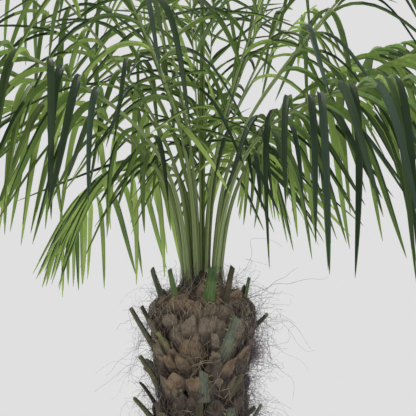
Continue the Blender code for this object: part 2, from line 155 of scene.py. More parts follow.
class Finish:
    """A material, and the nodes that give it its detail."""

    def __init__(self, name, fixed):
        self.material = bpy.data.materials.new(name)
        self.material.use_nodes = True
        self.tree = self.material.node_tree
        self.shader = self.tree.nodes["Principled BSDF"]
        for socket, value in fixed.items():
            self.shader.inputs[socket].default_value = value

    def node(self, kind, settings, sockets, output=0):
        """Makes a node, sets it up, joins or fills its sockets, and gives back one of its outputs."""
        made = self.tree.nodes.new(kind)
        for setting, value in settings.items():
            setattr(made, setting, value)
        for socket, value in sockets.items():
            if isinstance(value, Value):
                self.tree.links.new(value.socket, made.inputs[socket])
            else:
                made.inputs[socket].default_value = value
        return Value(self, made.outputs[output])

    def feed(self, socket, value):
        self.tree.links.new(value.socket, self.shader.inputs[socket])

    def place(self, kind):
        """Object coordinates, or the piece's own UV map."""
        return self.node("ShaderNodeTexCoord", {}, {}, kind)

    def stretched(self, vector, scale):
        return self.node("ShaderNodeMapping", {}, {"Vector": vector, "Scale": scale})

    def noise(self, vector, scale=1.0, detail=4.0):
        return self.node("ShaderNodeTexNoise", {}, {"Vector": vector, "Scale": scale, "Detail": detail})

    def mix(self, share, first, second):
        """One colour turning into another as share goes from 0 to 1."""
        return self.node("ShaderNodeMix", {"data_type": "RGBA"}, {0: share, 6: first, 7: second}, 2)

    def bump(self, height, distance, strength=1.0):
        sockets = {"Height": height, "Distance": distance, "Strength": strength}
        self.feed("Normal", self.node("ShaderNodeBump", {}, sockets))


def rgb(red, green, blue):
    return (red, green, blue, 1.0)


def shade(colour, by):
    return rgb(*(channel * by for channel in colour[:3]))


print("shader helpers ready")

# %% [markdown]
# The floor is plain and pale, and no part of the palm. It ends out of the photograph's view.

# %% The floor
FLOOR_RADIUS = 9
floor_paint = Finish("floor_paint", {"Roughness": 0.9, "Base Color": rgb(0.62, 0.62, 0.62)})
bpy.ops.mesh.primitive_circle_add(vertices=96, radius=FLOOR_RADIUS, fill_type="NGON", location=(0, 0, 0))
floor = bpy.context.object
floor.name = "floor"
floor.data.materials.append(floor_paint.material)
bpy.ops.object.select_all(action="DESELECT")
print("floor", tuple(round(size, 1) for size in floor.dimensions))

# %% [markdown]
# ## The laws of the palm
# These numbers and rules are the ones that the CAD palm was grown by, written again for arrays of points,
# so that every husk, stub and leaflet starts where the CAD palm has it. A direction round the trunk is 0 on
# the photographed side and 90 to the right of it.

# %% Trunk laws
UP = np.array((0.0, 0.0, 1.0))
TRUNK_TOP = 1.50
OUTLINE_HEIGHTS = np.array((0.00, 0.07, 0.18, 0.50, 1.00, 1.25, 1.38, 1.44, 1.50))
OUTLINE_RADII = np.array((0.142, 0.120, 0.100, 0.088, 0.086, 0.092, 0.104, 0.098, 0.070))
BASES_ROUND, BASE_ROWS = 9, 32
ROW_STEP = TRUNK_TOP / BASE_ROWS
TOP_ROW_ANGLE, ROW_TWIST = 9.0, 1.2
BASE_STANDS_OUT = 0.013


def smooth(x):
    x = np.clip(x, 0.0, 1.0)
    return x * x * (3 - 2 * x)


def around(direction, radius, height):
    """Points at those directions and distances from the trunk's axis."""
    angle = np.radians(direction)
    parts = np.broadcast_arrays(radius * np.sin(angle), -radius * np.cos(angle), height)
    return np.stack(parts, -1).astype(float)


def unit(vectors):
    return vectors / np.linalg.norm(vectors, axis=-1, keepdims=True)


def trunk_radius(height):
    """The trunk's radius under its husks."""
    index = np.clip(np.searchsorted(OUTLINE_HEIGHTS, height) - 1, 0, len(OUTLINE_HEIGHTS) - 2)
    low, high = OUTLINE_HEIGHTS[index], OUTLINE_HEIGHTS[index + 1]
    r_low, r_high = OUTLINE_RADII[index], OUTLINE_RADII[index + 1]
    return r_low + (r_high - r_low) * smooth((height - low) / (high - low))


def base_direction(row, place):
    rows_down = BASE_ROWS - 1 - row
    angle = TOP_ROW_ANGLE + (place + 0.5 * (rows_down % 2)) * 360 / BASES_ROUND + rows_down * ROW_TWIST
    return (angle + 180) % 360 - 180


SHOULDER, CROWN_FOOT, CROWN_FOOT_RADIUS = 1.435, 1.505, 0.040


def skin_radius(height):
    """The trunk's radius under its husks, drawn in towards the foot of the crown."""
    drawn_in = smooth((height - SHOULDER) / (CROWN_FOOT - SHOULDER))
    return trunk_radius(height) * (1 - drawn_in) + CROWN_FOOT_RADIUS * drawn_in


print("a leaf base is", round(2 * math.pi * trunk_radius(1.3) / BASES_ROUND * 1000), "mm wide")

# %% [markdown]
# Old leaves are cut off, and some of their stalks stay on the trunk. Those that the photograph shows are
# listed, each by its foot's direction and height, its lean outwards, its tilt to the right, its
# length, its width and its tone. A list serves here, because they follow no rule.

# %% The cut stalks in view
STUBS_SEEN = (
    (-64, 1.455, 22, 0, 0.076, 0.028, "shaded green"),
    (-36, 1.455, 17, -4, 0.070, 0.018, "green"),
    (8, 1.442, 17, 5, 0.086, 0.029, "green"),
    (29, 1.427, 17, 3, 0.104, 0.020, "brown"),
    (80, 1.455, 12, 0, 0.056, 0.024, "green"),
    (-88, 1.345, 32, 0, 0.118, 0.035, "olive"),
    (90, 1.375, 45, 0, 0.062, 0.029, "brown"),
    (-28, 1.322, 30, -22, 0.062, 0.019, "yellow"),
    (28, 1.318, 27, 6, 0.100, 0.031, "grey"),
    (-80, 1.238, 32, 0, 0.093, 0.034, "olive"),
    (-100, 1.240, 50, 0, 0.052, 0.028, "brown"),
    (3, 1.225, 12, 0, 0.056, 0.031, "grey"),
    (52, 1.228, 38, 4, 0.056, 0.018, "olive"),
    (-88, 1.150, 42, 0, 0.088, 0.034, "olive"),
    (60, 1.160, 50, 0, 0.056, 0.028, "brown"),
    (30, 1.135, 20, 8, 0.066, 0.028, "grey"),
)
Stub = namedtuple("Stub", "direction height lean tilt length width tone")
print(len(STUBS_SEEN), "cut stalks show in the photograph")

# %% [markdown]
# Each of those stands on the base that is nearest to it. Beyond the photograph's view a seeded rule picks
# the bases that keep a stalk: green ones close to the crown, and dry ones further down.

# %% Which bases keep a cut stalk
SEEN_DOWN_TO, SEEN_ROUND_TO = 1.15, 95
# How far a stub's foot may lie from its place on the nearest base, in degrees and in metres up
STUB_STRAYS, STUB_STRAYS_UP = 7.0, 0.016
STUB_SHARE, STUB_ROWS_FROM, STUB_ABOVE_MIDDLE = 0.36, 3, 0.1
STUB_LEAN, LEAN_VARIES, STUB_LENGTH = 33.0, 5.0, (0.060, 0.105)
GREEN_STUBS_FROM = 1.39
GREEN_STUB_LEAN, GREEN_STUB_LENGTH = 17.0, (0.060, 0.078)
STUB_WIDTH, GREEN_WIDTHS, DRY_WIDTHS = 0.031, (0.46, 0.72), (0.60, 1.0)
# The second green tone is the first one, darker and greyer, as painted shade
GREEN_TONES, DRY_TONES = ("green", "shaded green"), ("olive", "olive", "grey", "grey", "brown")
BASES = [(row, place) for row in range(STUB_ROWS_FROM, BASE_ROWS) for place in range(BASES_ROUND)]


def foot_height(base):
    return (base[0] + STUB_ABOVE_MIDDLE) * ROW_STEP


def stray(angle, middle):
    """The angle, no further from the middle than a stub's foot may stray on its base."""
    by = (angle - middle + 180) % 360 - 180
    return middle + min(max(by, -STUB_STRAYS), STUB_STRAYS)


def stubs_in_view():
    """The stubs of the photograph, each on the base that is nearest to it."""
    found = {}
    for seen in (Stub(*facts) for facts in STUBS_SEEN):

        def distance(base):
            angle = (base_direction(*base) - seen.direction + 180) % 360 - 180
            round_trunk = math.radians(angle) * trunk_radius(seen.height)
            return math.hypot(round_trunk, foot_height(base) - seen.height)

        base = min((base for base in BASES if base not in found), key=distance)
        low, high = foot_height(base) - STUB_STRAYS_UP, foot_height(base) + STUB_STRAYS_UP
        direction = stray(seen.direction, base_direction(*base))
        found[base] = seen._replace(direction=direction, height=min(max(seen.height, low), high))
    return found


def with_the_others(found):
    """The stubs in view, and those that a seeded rule adds beyond it."""
    rng, colours = random.Random(11), random.Random(12)
    for base in BASES:
        height = foot_height(base)
        in_view = height > SEEN_DOWN_TO and abs(base_direction(*base)) < SEEN_ROUND_TO
        if rng.random() < STUB_SHARE and not in_view and base not in found:
            green = height > GREEN_STUBS_FROM
            lean = (GREEN_STUB_LEAN if green else STUB_LEAN) + rng.uniform(-LEAN_VARIES, LEAN_VARIES)
            length = rng.uniform(*(GREEN_STUB_LENGTH if green else STUB_LENGTH))
            width = STUB_WIDTH * colours.uniform(*(GREEN_WIDTHS if green else DRY_WIDTHS))
            tone = colours.choice(GREEN_TONES if green else DRY_TONES)
            found[base] = Stub(base_direction(*base), height, lean, 0, length, width, tone)
    return list(found.values())


stubs = with_the_others(stubs_in_view())
print(len(stubs), "cut stalks,", sum("green" in stub.tone for stub in stubs), "of them green")

# %% [markdown]
# A frond's rib climbs from the trunk's top, bends most where its bare stalk ends, and then ever more
# slowly. All fronds share one rule, and differ in a few numbers that are read from the photograph.

# %% The fronds
GAP = 0.0003
# A whorl's ring radius, a stalk's width and thickness at its foot, and its leaflets beside the longest
WHORLS = {
    "outer": (0.0440, 0.0250, 0.0115, 1.00),
    "middle": (0.0285, 0.0195, 0.0095, 0.94),
    "inner": (0.0165, 0.0145, 0.0080, 0.84),
    "centre": (0.0092, 0.0085, 0.0060, 0.70),
}
# A frond's whorl, direction, rise at the foot, bend by its tip, length, and its leaflets' droop
FRONDS = (
    ("outer", 48, 82, 118, 1.60, 0.95),
    ("outer", 96, 84, 76, 1.42, 0.84),
    ("outer", 131, 85, 68, 1.38, 0.76),
    ("outer", 167, 84, 92, 1.36, 0.80),
    ("outer", -156, 83, 112, 1.38, 0.80),
    ("outer", -121, 84, 88, 1.38, 0.76),
    ("outer", -87, 84, 84, 1.42, 0.88),
    ("outer", -53, 84, 92, 1.42, 0.93),
    ("middle", 74, 86, 52, 1.50, 0.86),
    ("middle", 112, 86, 48, 1.46, 0.80),
    ("middle", 152, 86, 58, 1.44, 0.78),
    ("middle", -162, 86, 48, 1.42, 0.74),
    ("middle", -118, 86, 56, 1.44, 0.80),
    ("middle", -76, 86, 50, 1.46, 0.84),
    ("middle", -30, 86, 60, 1.50, 0.84),
    ("inner", 40, 88, 38, 1.36, 0.70),
    ("inner", 112, 88, 34, 1.36, 0.74),
    ("inner", -176, 88, 36, 1.32, 0.68),
    ("inner", -104, 88, 38, 1.38, 0.76),
    ("inner", -32, 88, 34, 1.38, 0.72),
    ("centre", 80, 89, 26, 1.22, 0.62),
    ("centre", 170, 89, 24, 1.18, 0.60),
    ("centre", -100, 89, 28, 1.22, 0.64),
    ("centre", -12, 89, 26, 1.20, 0.60),
)
print(len(FRONDS), "fronds in", len(WHORLS), "whorls")

# %% The rule of a frond
RIB_STEPS = 80
STALK_SHARE, RIB_END = 0.22, 0.004
WIDTH_AT_BLADE, THICKNESS_AT_BLADE, NARROWING = 0.5, 0.8, 1.3
EARLY_BEND, EARLY_BEND_BY, EARLY_BEND_POWER = 0.66, 0.26, 2.6
SWEEP = 7.0


class Frond:
    """Where one frond's rib runs, and how wide it is."""

    def __init__(self, number, whorl, direction, rise, bend, length, droop):
        self.number, self.name, self.whorl = number, f"frond_{number:02d}", whorl
        foot_radius, self.width, self.thickness, self.leaflets = WHORLS[whorl]
        self.direction, self.rise, self.bend = direction, rise, bend
        self.length, self.droop = length, droop
        self.sweep = random.Random(100 + number).uniform(-SWEEP, SWEEP)
        self.stalk = STALK_SHARE * length
        foot = around(direction, foot_radius, TRUNK_TOP + GAP)
        steps = self.tangent((np.arange(RIB_STEPS) + 0.5) / RIB_STEPS) * (length / RIB_STEPS)
        self.points = np.vstack([foot, foot + np.cumsum(steps, axis=0)])

    def heading(self, share):
        return around(self.direction + self.sweep * share * share, 1, 0)

    def tangent(self, share):
        early = 1 - np.exp(-((share / EARLY_BEND_BY) ** EARLY_BEND_POWER))
        bent = EARLY_BEND * early + (1 - EARLY_BEND) * share * share
        climb = np.radians(self.rise - self.bend * bent)[..., None]
        return self.heading(share) * np.cos(climb) + UP * np.sin(climb)

    def at(self, along):
        """Points, tangents, sides and upper normals at distances along the rib."""
        share = np.clip(along / self.length, 0.0, 1.0)
        places = np.arange(RIB_STEPS + 1) / RIB_STEPS
        point = np.stack([np.interp(share, places, self.points[:, axis]) for axis in range(3)], -1)
        tangent = self.tangent(share)
        side = np.cross(UP, self.heading(share))
        return point, tangent, side, np.cross(tangent, side)

    def section(self, along):
        """Width and thickness of the stalk or rib."""
        foot = np.clip(1 - along / self.stalk, 0, 1)
        left = np.clip((self.length - along) / (self.length - self.stalk), 0, 1)
        stalk_wide = self.width * (WIDTH_AT_BLADE + (1 - WIDTH_AT_BLADE) * foot**NARROWING)
        stalk_thick = self.thickness * (THICKNESS_AT_BLADE + (1 - THICKNESS_AT_BLADE) * foot)
        rib_wide = RIB_END + (self.width * WIDTH_AT_BLADE - RIB_END) * left
        rib_thick = RIB_END + (self.thickness * THICKNESS_AT_BLADE - RIB_END) * left
        in_stalk = along < self.stalk
        return np.where(in_stalk, stalk_wide, rib_wide), np.where(in_stalk, stalk_thick, rib_thick)


fronds = [Frond(number, *facts) for number, facts in enumerate(FRONDS, 1)]
print("the highest point of a rib is at", round(max(frond.points[:, 2].max() for frond in fronds), 2), "m")

# %% [markdown]
# ## One master, many copies
# A master is a small mesh that runs along +Y from 0 to 1, with its width along X and its upper side along
# +Z. To copy it along a line, each of its corners is carried to the line's place at the same share of the
# length, and stands off it by the line's width and height there. All copies are joined into one mesh,
# because thousands of separate leaflets would be slow to handle.

# %% Helpers for modelling by hand
Master = namedtuple("Master", "points corners starts finishes")
Lines = namedtuple("Lines", "points across upper width height")


def begin(made):
    """Names the new primitive and goes into edit mode with nothing selected."""
    made.name = "master"
    bpy.ops.object.mode_set(mode="EDIT")
    bpy.ops.mesh.select_all(action="DESELECT")


def pick(test):
    """Selects the corners whose place passes the test."""
    mesh = bpy.context.object.data
    edit = bmesh.from_edit_mesh(mesh)
    bpy.ops.mesh.select_all(action="DESELECT")
    for vert in edit.verts:
        vert.select = test(vert.co)
    edit.select_flush(True)
    bmesh.update_edit_mesh(mesh)


def squeeze(x=1.0, y=1.0, z=1.0, centre=(0, 0, 0)):
    bpy.ops.transform.resize(value=(x, y, z), center_override=centre)


def shift(x=0.0, y=0.0, z=0.0):
    bpy.ops.transform.translate(value=(x, y, z))


def draw_out(rings):
    """Extrudes the selected end face along +Y through rings of (share, width, height)."""
    y, width, height = rings[0]
    for next_y, next_width, next_height in rings[1:]:
        bpy.ops.mesh.extrude_region_move(TRANSFORM_OT_translate={"value": (0, next_y - y, 0)})
        squeeze(next_width / width, 1, next_height / height, (0, next_y, 0))
        y, width, height = next_y, next_width, next_height


def take_master(finish_of=lambda centre, normal: 0):
    """Ends the modelling: turns the faces out, reads the mesh into arrays and removes the object."""
    bpy.ops.mesh.select_all(action="SELECT")
    bpy.ops.mesh.normals_make_consistent(inside=False)
    bpy.ops.object.mode_set(mode="OBJECT")
    made = bpy.context.object
    mesh = made.data
    points = np.array([made.matrix_world @ vert.co for vert in mesh.vertices])
    corners = np.array([loop.vertex_index for loop in mesh.loops])
    starts = np.array([face.loop_start for face in mesh.polygons])
    finishes = np.array([finish_of(face.center, face.normal) for face in mesh.polygons])
    bpy.data.objects.remove(made)
    return Master(points, corners, starts, finishes)


print("modelling helpers ready")

# %% [markdown]
# A line has a point for each of its steps, the ways that its width and its upper side lie there, and half
# of its width and height. The copies go into one mesh as arrays, which takes a moment where operators would
# take hours.


# %% Helpers for copying along lines
def along_lines(master, lines):
    """The master's corners on every line, as copies x corners x 3."""
    steps = lines.points.shape[1] - 1
    place = np.clip(master.points[:, 1], 0, 1) * steps
    index = np.minimum(place.astype(int), steps - 1)
    part = place - index

    def read(values):
        between = part[:, None] if values.ndim == 3 else part
        return values[:, index] * (1 - between) + values[:, index + 1] * between

    off_side = (master.points[:, 0] * read(lines.width))[..., None] * read(lines.across)
    off_top = (master.points[:, 2] * read(lines.height))[..., None] * read(lines.upper)
    return read(lines.points) + off_side + off_top


def fill(members, name, values, kind=np.int32):
    """Gives every corner, loop or face of a mesh its own value."""
    members.foreach_set(name, values.astype(kind).ravel())


def joined(name, master, placed, finishes, tone=0, sharp=40, uv=None):
    """One mesh of all copies. A copy of tone t takes the t-th set of the finishes."""
    copies, corners = placed.shape[:2]
    step = np.arange(copies)[:, None]
    kinds = master.finishes.max() + 1
    tones = np.broadcast_to(tone, copies)[:, None]
    mesh = bpy.data.meshes.new(name)
    mesh.vertices.add(copies * corners)
    mesh.loops.add(copies * len(master.corners))
    mesh.polygons.add(copies * len(master.starts))
    fill(mesh.vertices, "co", placed, np.float32)
    fill(mesh.loops, "vertex_index", master.corners + step * corners)
    fill(mesh.polygons, "loop_start", master.starts + step * len(master.corners))
    fill(mesh.polygons, "material_index", master.finishes + tones * kinds)
    if uv is None:
        uv = master.points[:, :2] * (0.5, 1) + (0.5, 0)
    layer = mesh.uv_layers.new(name="shares")
    fill(layer.data, "uv", np.tile(uv[master.corners], (copies, 1)), np.float32)
    mesh.update(calc_edges=True)
    for finish in finishes:
        mesh.materials.append(finish.material)
    mesh.shade_smooth()
    mesh.set_sharp_from_angle(angle=math.radians(sharp))
    piece = bpy.data.objects.new(name, mesh)
    bpy.context.collection.objects.link(piece)
    return piece


def belongs(piece, slot, *nodes):
    """The piece moves with the palm, and stands for CAD nodes, which it hides. The slot is not used."""
    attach(piece, "root")
    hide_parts(*nodes)
    faces = sum(len(face.vertices) - 2 for face in piece.data.polygons)
    print(piece.name, "has", faces, "triangles")


print("copying helpers ready")

# %% [markdown]
# ## The trunk's core
# Under the husks the trunk is a dark, matted mass of fibre. It closes flat at the ground, and its top is
# domed where the youngest stalks stand. A circle is extruded up the outline, and a noise pushes its skin
# about.

# %% Bark finishes
# Where the painted shade at a husk's sides and at its root begins and ends, on its own UV map
SIDE_FROM, SIDE_TO, SIDE_SHADE_STRENGTH = 0.0104, 0.0142, 0.60
ROOT_FROM, ROOT_TO, ROOT_SHADE_STRENGTH = 0.004, 0.028, 0.70


def bark_finish(name, colour, dark, roughness=0.9, painted_shade=None):
    """Dry, fibrous plant matter: streaks up the trunk, blotches, and a rough skin.

    A husk gets painted shade at its sides and its root, where it lies in the gaps and overlaps between husks.
    """
    finish = Finish(name, {"Roughness": roughness, "Specular IOR Level": 0.25})
    place = finish.place("Object")
    streaks = finish.noise(finish.stretched(place, (240, 240, 70)), detail=6)
    blotches = finish.noise(place, 38, 3)
    share = (streaks * 0.62 + blotches * 0.58).over(0.40, 0.72)
    skin = finish.mix(share, dark, colour)
    # Painted shade: the husk darkens towards its sides and its root, in the gaps and overlaps between husks
    if painted_shade:
        own = {"Vector": finish.place("UV")}
        across, along = (finish.node("ShaderNodeSeparateXYZ", {}, own, axis) for axis in (0, 1))
        off_middle = across - 0.5
        aside = off_middle.maths("ABSOLUTE", off_middle) + blotches * 0.003
        skin = finish.mix(aside.over(SIDE_FROM, SIDE_TO) * SIDE_SHADE_STRENGTH, skin, painted_shade)
        above_root = (along - blotches * 0.012).over(ROOT_FROM, ROOT_TO)
        skin = finish.mix((1 - above_root) * ROOT_SHADE_STRENGTH, skin, painted_shade)
    finish.feed("Base Color", skin)
    finish.bump(streaks, 0.004, 0.8)
    return finish


matted = bark_finish("matted_fibre", rgb(0.085, 0.066, 0.050), rgb(0.024, 0.018, 0.014))
print("core finish ready")

# %% The core
CORE_SIDES, CORE_RINGS, CORE_INSIDE = 64, 90, 0.001
# The dome at the top, as steps up with the share of the radius that is left after each
DOME = ((0.012, 0.86), (0.010, 0.72), (0.006, 0.5), (0.002, 0.2))
LUMP_SIZE, LUMP_HEIGHT, LUMPS_FROM = 0.014, 0.006, 0.6


def next_ring(rise, scale, height):
    """Draws the open end up by a step, and scales its ring about the axis."""
    if rise:
        bpy.ops.mesh.extrude_region_move(TRANSFORM_OT_translate={"value": (0, 0, rise)})
    squeeze(scale, scale, 1, (0, 0, height))


bpy.ops.mesh.primitive_circle_add(vertices=CORE_SIDES, radius=1, fill_type="NGON", location=(0, 0, 0))
core = bpy.context.object
core.name = "trunk_core"
bpy.ops.object.mode_set(mode="EDIT")
radius = 1.0
for ring, height in enumerate(np.linspace(0, TRUNK_TOP, CORE_RINGS)):
    wanted = float(skin_radius(height)) - CORE_INSIDE
    next_ring(TRUNK_TOP / (CORE_RINGS - 1) if ring else 0, wanted / radius, float(height))
    radius = wanted
for rise, share in DOME:
    next_ring(rise, share, 0)
bpy.ops.mesh.select_all(action="SELECT")
bpy.ops.mesh.normals_make_consistent(inside=False)
bpy.ops.object.mode_set(mode="OBJECT")
print("the core has", len(core.data.polygons), "faces")

# %% The core's relief
lumps = bpy.data.textures.new("lumps", "CLOUDS")
lumps.noise_scale, lumps.noise_depth = LUMP_SIZE, 2
relief = core.modifiers.new("relief", "DISPLACE")
relief.texture, relief.strength, relief.mid_level = lumps, LUMP_HEIGHT, LUMPS_FROM
bpy.ops.object.modifier_apply(modifier="relief")
for vert in core.data.vertices:
    vert.co.z = max(vert.co.z, 0.0)
core.data.materials.append(matted.material)
core.data.shade_smooth()
belongs(core, "bark", "trunk")
bpy.ops.object.select_all(action="DESELECT")

# %% [markdown]
# ## Husks
# The trunk is clad in the dry bases of old leaves, like shingles that point upwards and stand off at the
# top. One husk is a grid at its real size: its rows are drawn in to a shield, lifted outwards towards the
# top, and given a thickness. Its copies differ in size, lean and torn edge.

# %% Husk finishes
# The colour of the painted shade at a husk's sides and root
HUSK_PAINTED_SHADE = rgb(0.030, 0.022, 0.016)
HUSK_TONES = {
    "grey": ((0.270, 0.218, 0.160), (0.108, 0.084, 0.061)),
    "warm": ((0.300, 0.218, 0.143), (0.120, 0.085, 0.056)),
    "dark": ((0.140, 0.110, 0.085), (0.042, 0.033, 0.026)),
}
husk_finishes = tuple(
    bark_finish(f"husk_{tone}_brown", rgb(*light), rgb(*dark), 0.9, HUSK_PAINTED_SHADE)
    for tone, (light, dark) in HUSK_TONES.items()
)
print(len(husk_finishes), "husk finishes")

# %% The husk
HUSK_WIDTH, HUSK_HEIGHT, HUSK_THICKNESS = 0.054, 0.070, 0.0045
HUSK_OUTLINE = (0.70, 0.88, 0.98, 1.00, 0.97, 0.88, 0.70)
HUSK_LIFT = (-0.006, -0.001, 0.004, 0.0085, 0.0125, 0.0160, 0.0185)
HUSK_KEEL, HUSK_GROOVE = 0.0036, 0.0003
HUSK_ROWS, HUSK_COLUMNS = len(HUSK_OUTLINE) - 1, 8
ROW_SHARES = np.arange(HUSK_ROWS + 1) / HUSK_ROWS
bpy.ops.mesh.primitive_grid_add(
    x_subdivisions=HUSK_COLUMNS, y_subdivisions=HUSK_ROWS, size=1, location=(0, 0.5, 0)
)
begin(bpy.context.object)
for index, (wide, lift) in enumerate(zip(HUSK_OUTLINE, HUSK_LIFT)):
    pick(lambda co: abs(co.y + 0.5 - index / HUSK_ROWS) < 0.01)
    squeeze(wide, 1, 1, (0, index / HUSK_ROWS, 0))
    shift(z=lift)


def row_width(share):
    return np.interp(share, ROW_SHARES, HUSK_OUTLINE)


middle = HUSK_COLUMNS / 2
for column in range(HUSK_COLUMNS + 1):
    pick(lambda co: abs(co.x / row_width(co.y + 0.5) + 0.5 - column / HUSK_COLUMNS) < 0.02)
    shift(z=HUSK_KEEL * (1 - abs(column - middle) / middle) + HUSK_GROOVE * (column % 2))
bpy.ops.mesh.select_all(action="SELECT")
squeeze(HUSK_WIDTH, HUSK_HEIGHT, 1)
bpy.ops.object.mode_set(mode="OBJECT")
bpy.ops.object.modifier_add(type="SOLIDIFY")
bpy.context.object.modifiers[0].thickness = HUSK_THICKNESS
bpy.ops.object.modifier_apply(modifier=bpy.context.object.modifiers[0].name)
bpy.ops.object.mode_set(mode="EDIT")
husk = take_master()
print("a husk has", len(husk.points), "corners and", len(husk.starts), "faces")

# %% [markdown]
# Each base of the lattice gets one husk, and many get a smaller one wedged in beside it, so that the
# cladding looks grown and not laid. A copy is stretched, skewed and turned, and the edge of its top is
# torn.

# %% One husk in its place
# Above this height a husk stands upright, and doesn't follow the trunk in towards the crown
HUSKS_UPRIGHT_FROM = 1.452
HUSK_FOOT = 0.45 * HUSK_HEIGHT
TORN_BY, RIPPLED_BY, SKEWED_BY = 0.0022, 0.0005, 0.30
POINTED_BY, PEAK_ASIDE = 0.024, 0.35
LIFT_VARIES, FOLLOWS_TRUNK = (0.75, 1.25), 0.9


def husk_copy(rng, direction, height, wide, tall, lean, off):
    """The husk's corners at one place on the trunk."""
    x, y, z = husk.points.T
    share = np.clip(y / HUSK_HEIGHT, 0, 1)
    column = np.rint((x / (HUSK_WIDTH * row_width(share)) + 0.5) * HUSK_COLUMNS)
    column = np.clip(column, 0, HUSK_COLUMNS).astype(int)
    torn = np.array([rng.gauss(0, TORN_BY) for edge in range(HUSK_COLUMNS + 1)])[column]
    pointed, peak = rng.uniform(0.0, 1.5), rng.uniform(-PEAK_ASIDE, PEAK_ASIDE)
    torn = torn - POINTED_BY * pointed * np.abs(x / HUSK_WIDTH - peak)
    z = z + np.array([rng.gauss(0, RIPPLED_BY) for edge in range(HUSK_COLUMNS + 1)])[column] * share
    y = (y + torn * share**2) * tall - HUSK_FOOT
    x = x * wide + y * rng.uniform(-SKEWED_BY, SKEWED_BY) * share
    x, y = x * math.cos(lean) - y * math.sin(lean), x * math.sin(lean) + y * math.cos(lean)
    up_to = np.clip(height + y, 0.001, None)
    flat = skin_radius(np.minimum(up_to, HUSKS_UPRIGHT_FROM))
    stands = flat + off + z * rng.uniform(*LIFT_VARIES) - x * x / (2 * flat) * FOLLOWS_TRUNK
    outwards, sideways = around(direction, 1, 0), around(direction + 90, 1, 0)
    return outwards * stands[:, None] + sideways * x[:, None] + UP * up_to[:, None]


print("a husk's top edge has", HUSK_COLUMNS + 1, "corners to tear")

# %% Husks of the whole trunk
# Below this height, and over this much of it, the husks turn dark. The tones are grey, warm and dark
DARK_BELOW, DARK_OVER = 1.30, 0.09
GREY, WARM, DARK = 0, 1, 2
DARK_SHARE, DARKER_SHARE, WARM_SHARE = 0.06, 0.78, 0.45
TYPICAL_RADIUS, TOP_ROWS, TOP_ROWS_LOWER = 0.095, 3, 0.010
# How a husk strays from its base, in degrees and rows, its size, its lean in degrees, and how far it is off
STRAYS, ROWS_OFF, WIDER, TALLER = (-5, 5), (-0.25, 0.15), (1.00, 1.35), (0.95, 1.25)
LEANS, STANDS_OFF = 13, (0.001, 0.008)
# The same for the smaller husks that are wedged in beside one
WEDGES, WEDGE_BESIDE, WEDGE_ROWS_OFF = (1, 1, 1, 2, 2), (9, 21), (-0.6, 0.3)
WEDGE_WIDER, WEDGE_TALLER, WEDGE_LEANS, WEDGE_STANDS_OFF = (0.45, 0.85), (0.5, 0.95), 26, (0.000, 0.006)


def wedged_in(rng, direction, height, girth):
    """One or two smaller husks beside a husk."""
    placed = []
    for wedge in range(rng.choice(WEDGES)):
        direction += rng.choice((-1, 1)) * rng.uniform(*WEDGE_BESIDE)
        height += rng.uniform(*WEDGE_ROWS_OFF) * ROW_STEP
        sizes = rng.uniform(*WEDGE_WIDER) * girth, rng.uniform(*WEDGE_TALLER)
        lean, off = math.radians(rng.gauss(0, WEDGE_LEANS)), rng.uniform(*WEDGE_STANDS_OFF)
        placed.append(husk_copy(rng, direction, height, *sizes, lean, off))
    return placed


def lattice_husks(rng):
    """The husks of all the bases, and their tones."""
    placed, tones = [], []
    for row in range(BASE_ROWS):
        for place in range(BASES_ROUND):
            direction = base_direction(row, place) + rng.uniform(*STRAYS)
            height = (row + rng.uniform(*ROWS_OFF)) * ROW_STEP
            height -= TOP_ROWS_LOWER if row > BASE_ROWS - TOP_ROWS else 0
            girth = float(trunk_radius(height)) / TYPICAL_RADIUS
            sizes = rng.uniform(*WIDER) * girth, rng.uniform(*TALLER)
            lean, off = math.radians(rng.gauss(0, LEANS)), rng.uniform(*STANDS_OFF)
            placed.append(husk_copy(rng, direction, height, *sizes, lean, off))
            placed += wedged_in(rng, direction, height, girth)
            low = smooth((DARK_BELOW - row * ROW_STEP) / DARK_OVER)
            while len(tones) < len(placed):
                dark = rng.random() < DARK_SHARE + DARKER_SHARE * low
                tones.append(DARK if dark else WARM if rng.random() < WARM_SHARE else GREY)
    return placed, tones


husk_draws = random.Random(21)
husk_points, husk_tones = lattice_husks(husk_draws)
print(len(husk_points), "husks clad the trunk")

# %% [markdown]
# A few husks stand out in the photograph. They are listed and laid over the others.

# %% Husks that stand out
# direction, height of the middle, width, length, lean to the left, tone
HUSKS_SEEN = (
    (-30, 1.436, 0.056, 0.060, -4, WARM),
    (-9, 1.424, 0.046, 0.050, 6, WARM),
    (9, 1.417, 0.036, 0.036, -8, GREY),
    (-37, 1.396, 0.050, 0.038, 5, GREY),
    (-14, 1.380, 0.044, 0.058, 8, GREY),
    (5, 1.378, 0.048, 0.062, -5, GREY),
    (-64, 1.378, 0.050, 0.054, -10, GREY),
    (14, 1.345, 0.022, 0.046, 2, GREY),
    (-56, 1.322, 0.038, 0.042, 8, GREY),
    (-38, 1.298, 0.032, 0.042, -4, WARM),
    (-22, 1.294, 0.036, 0.046, 4, WARM),
    (29, 1.288, 0.026, 0.062, -16, WARM),
    (48, 1.316, 0.028, 0.076, -14, WARM),
    (39, 1.250, 0.024, 0.052, -12, GREY),
    (-34, 1.250, 0.052, 0.044, 30, WARM),
)
SEEN_STANDS_OFF = 0.017
for direction, middle, width, length, lean, tone in HUSKS_SEEN:
    height = middle - length / 2 + HUSK_FOOT
    sizes = width / HUSK_WIDTH, length / HUSK_HEIGHT
    husk_points.append(husk_copy(husk_draws, direction, height, *sizes, math.radians(lean), SEEN_STANDS_OFF))
    husk_tones.append(tone)
husks = joined("trunk_husks", husk, np.array(husk_points), husk_finishes, np.array(husk_tones), 30)
belongs(husks, "bark", "trunk")

# %% [markdown]
# ## Cut stalks
# Where an old leaf is cut off, the foot of its stalk stays. It is a grooved, tapered bar: a circle is pressed
# flat, its top is pushed in to a channel, and it is drawn out along its length. The same bar, with more
# rings, serves for the living stalks.

# %% The grooved bar
BAR_SIDES, STUB_RINGS, STUB_END = 14, 9, 0.72


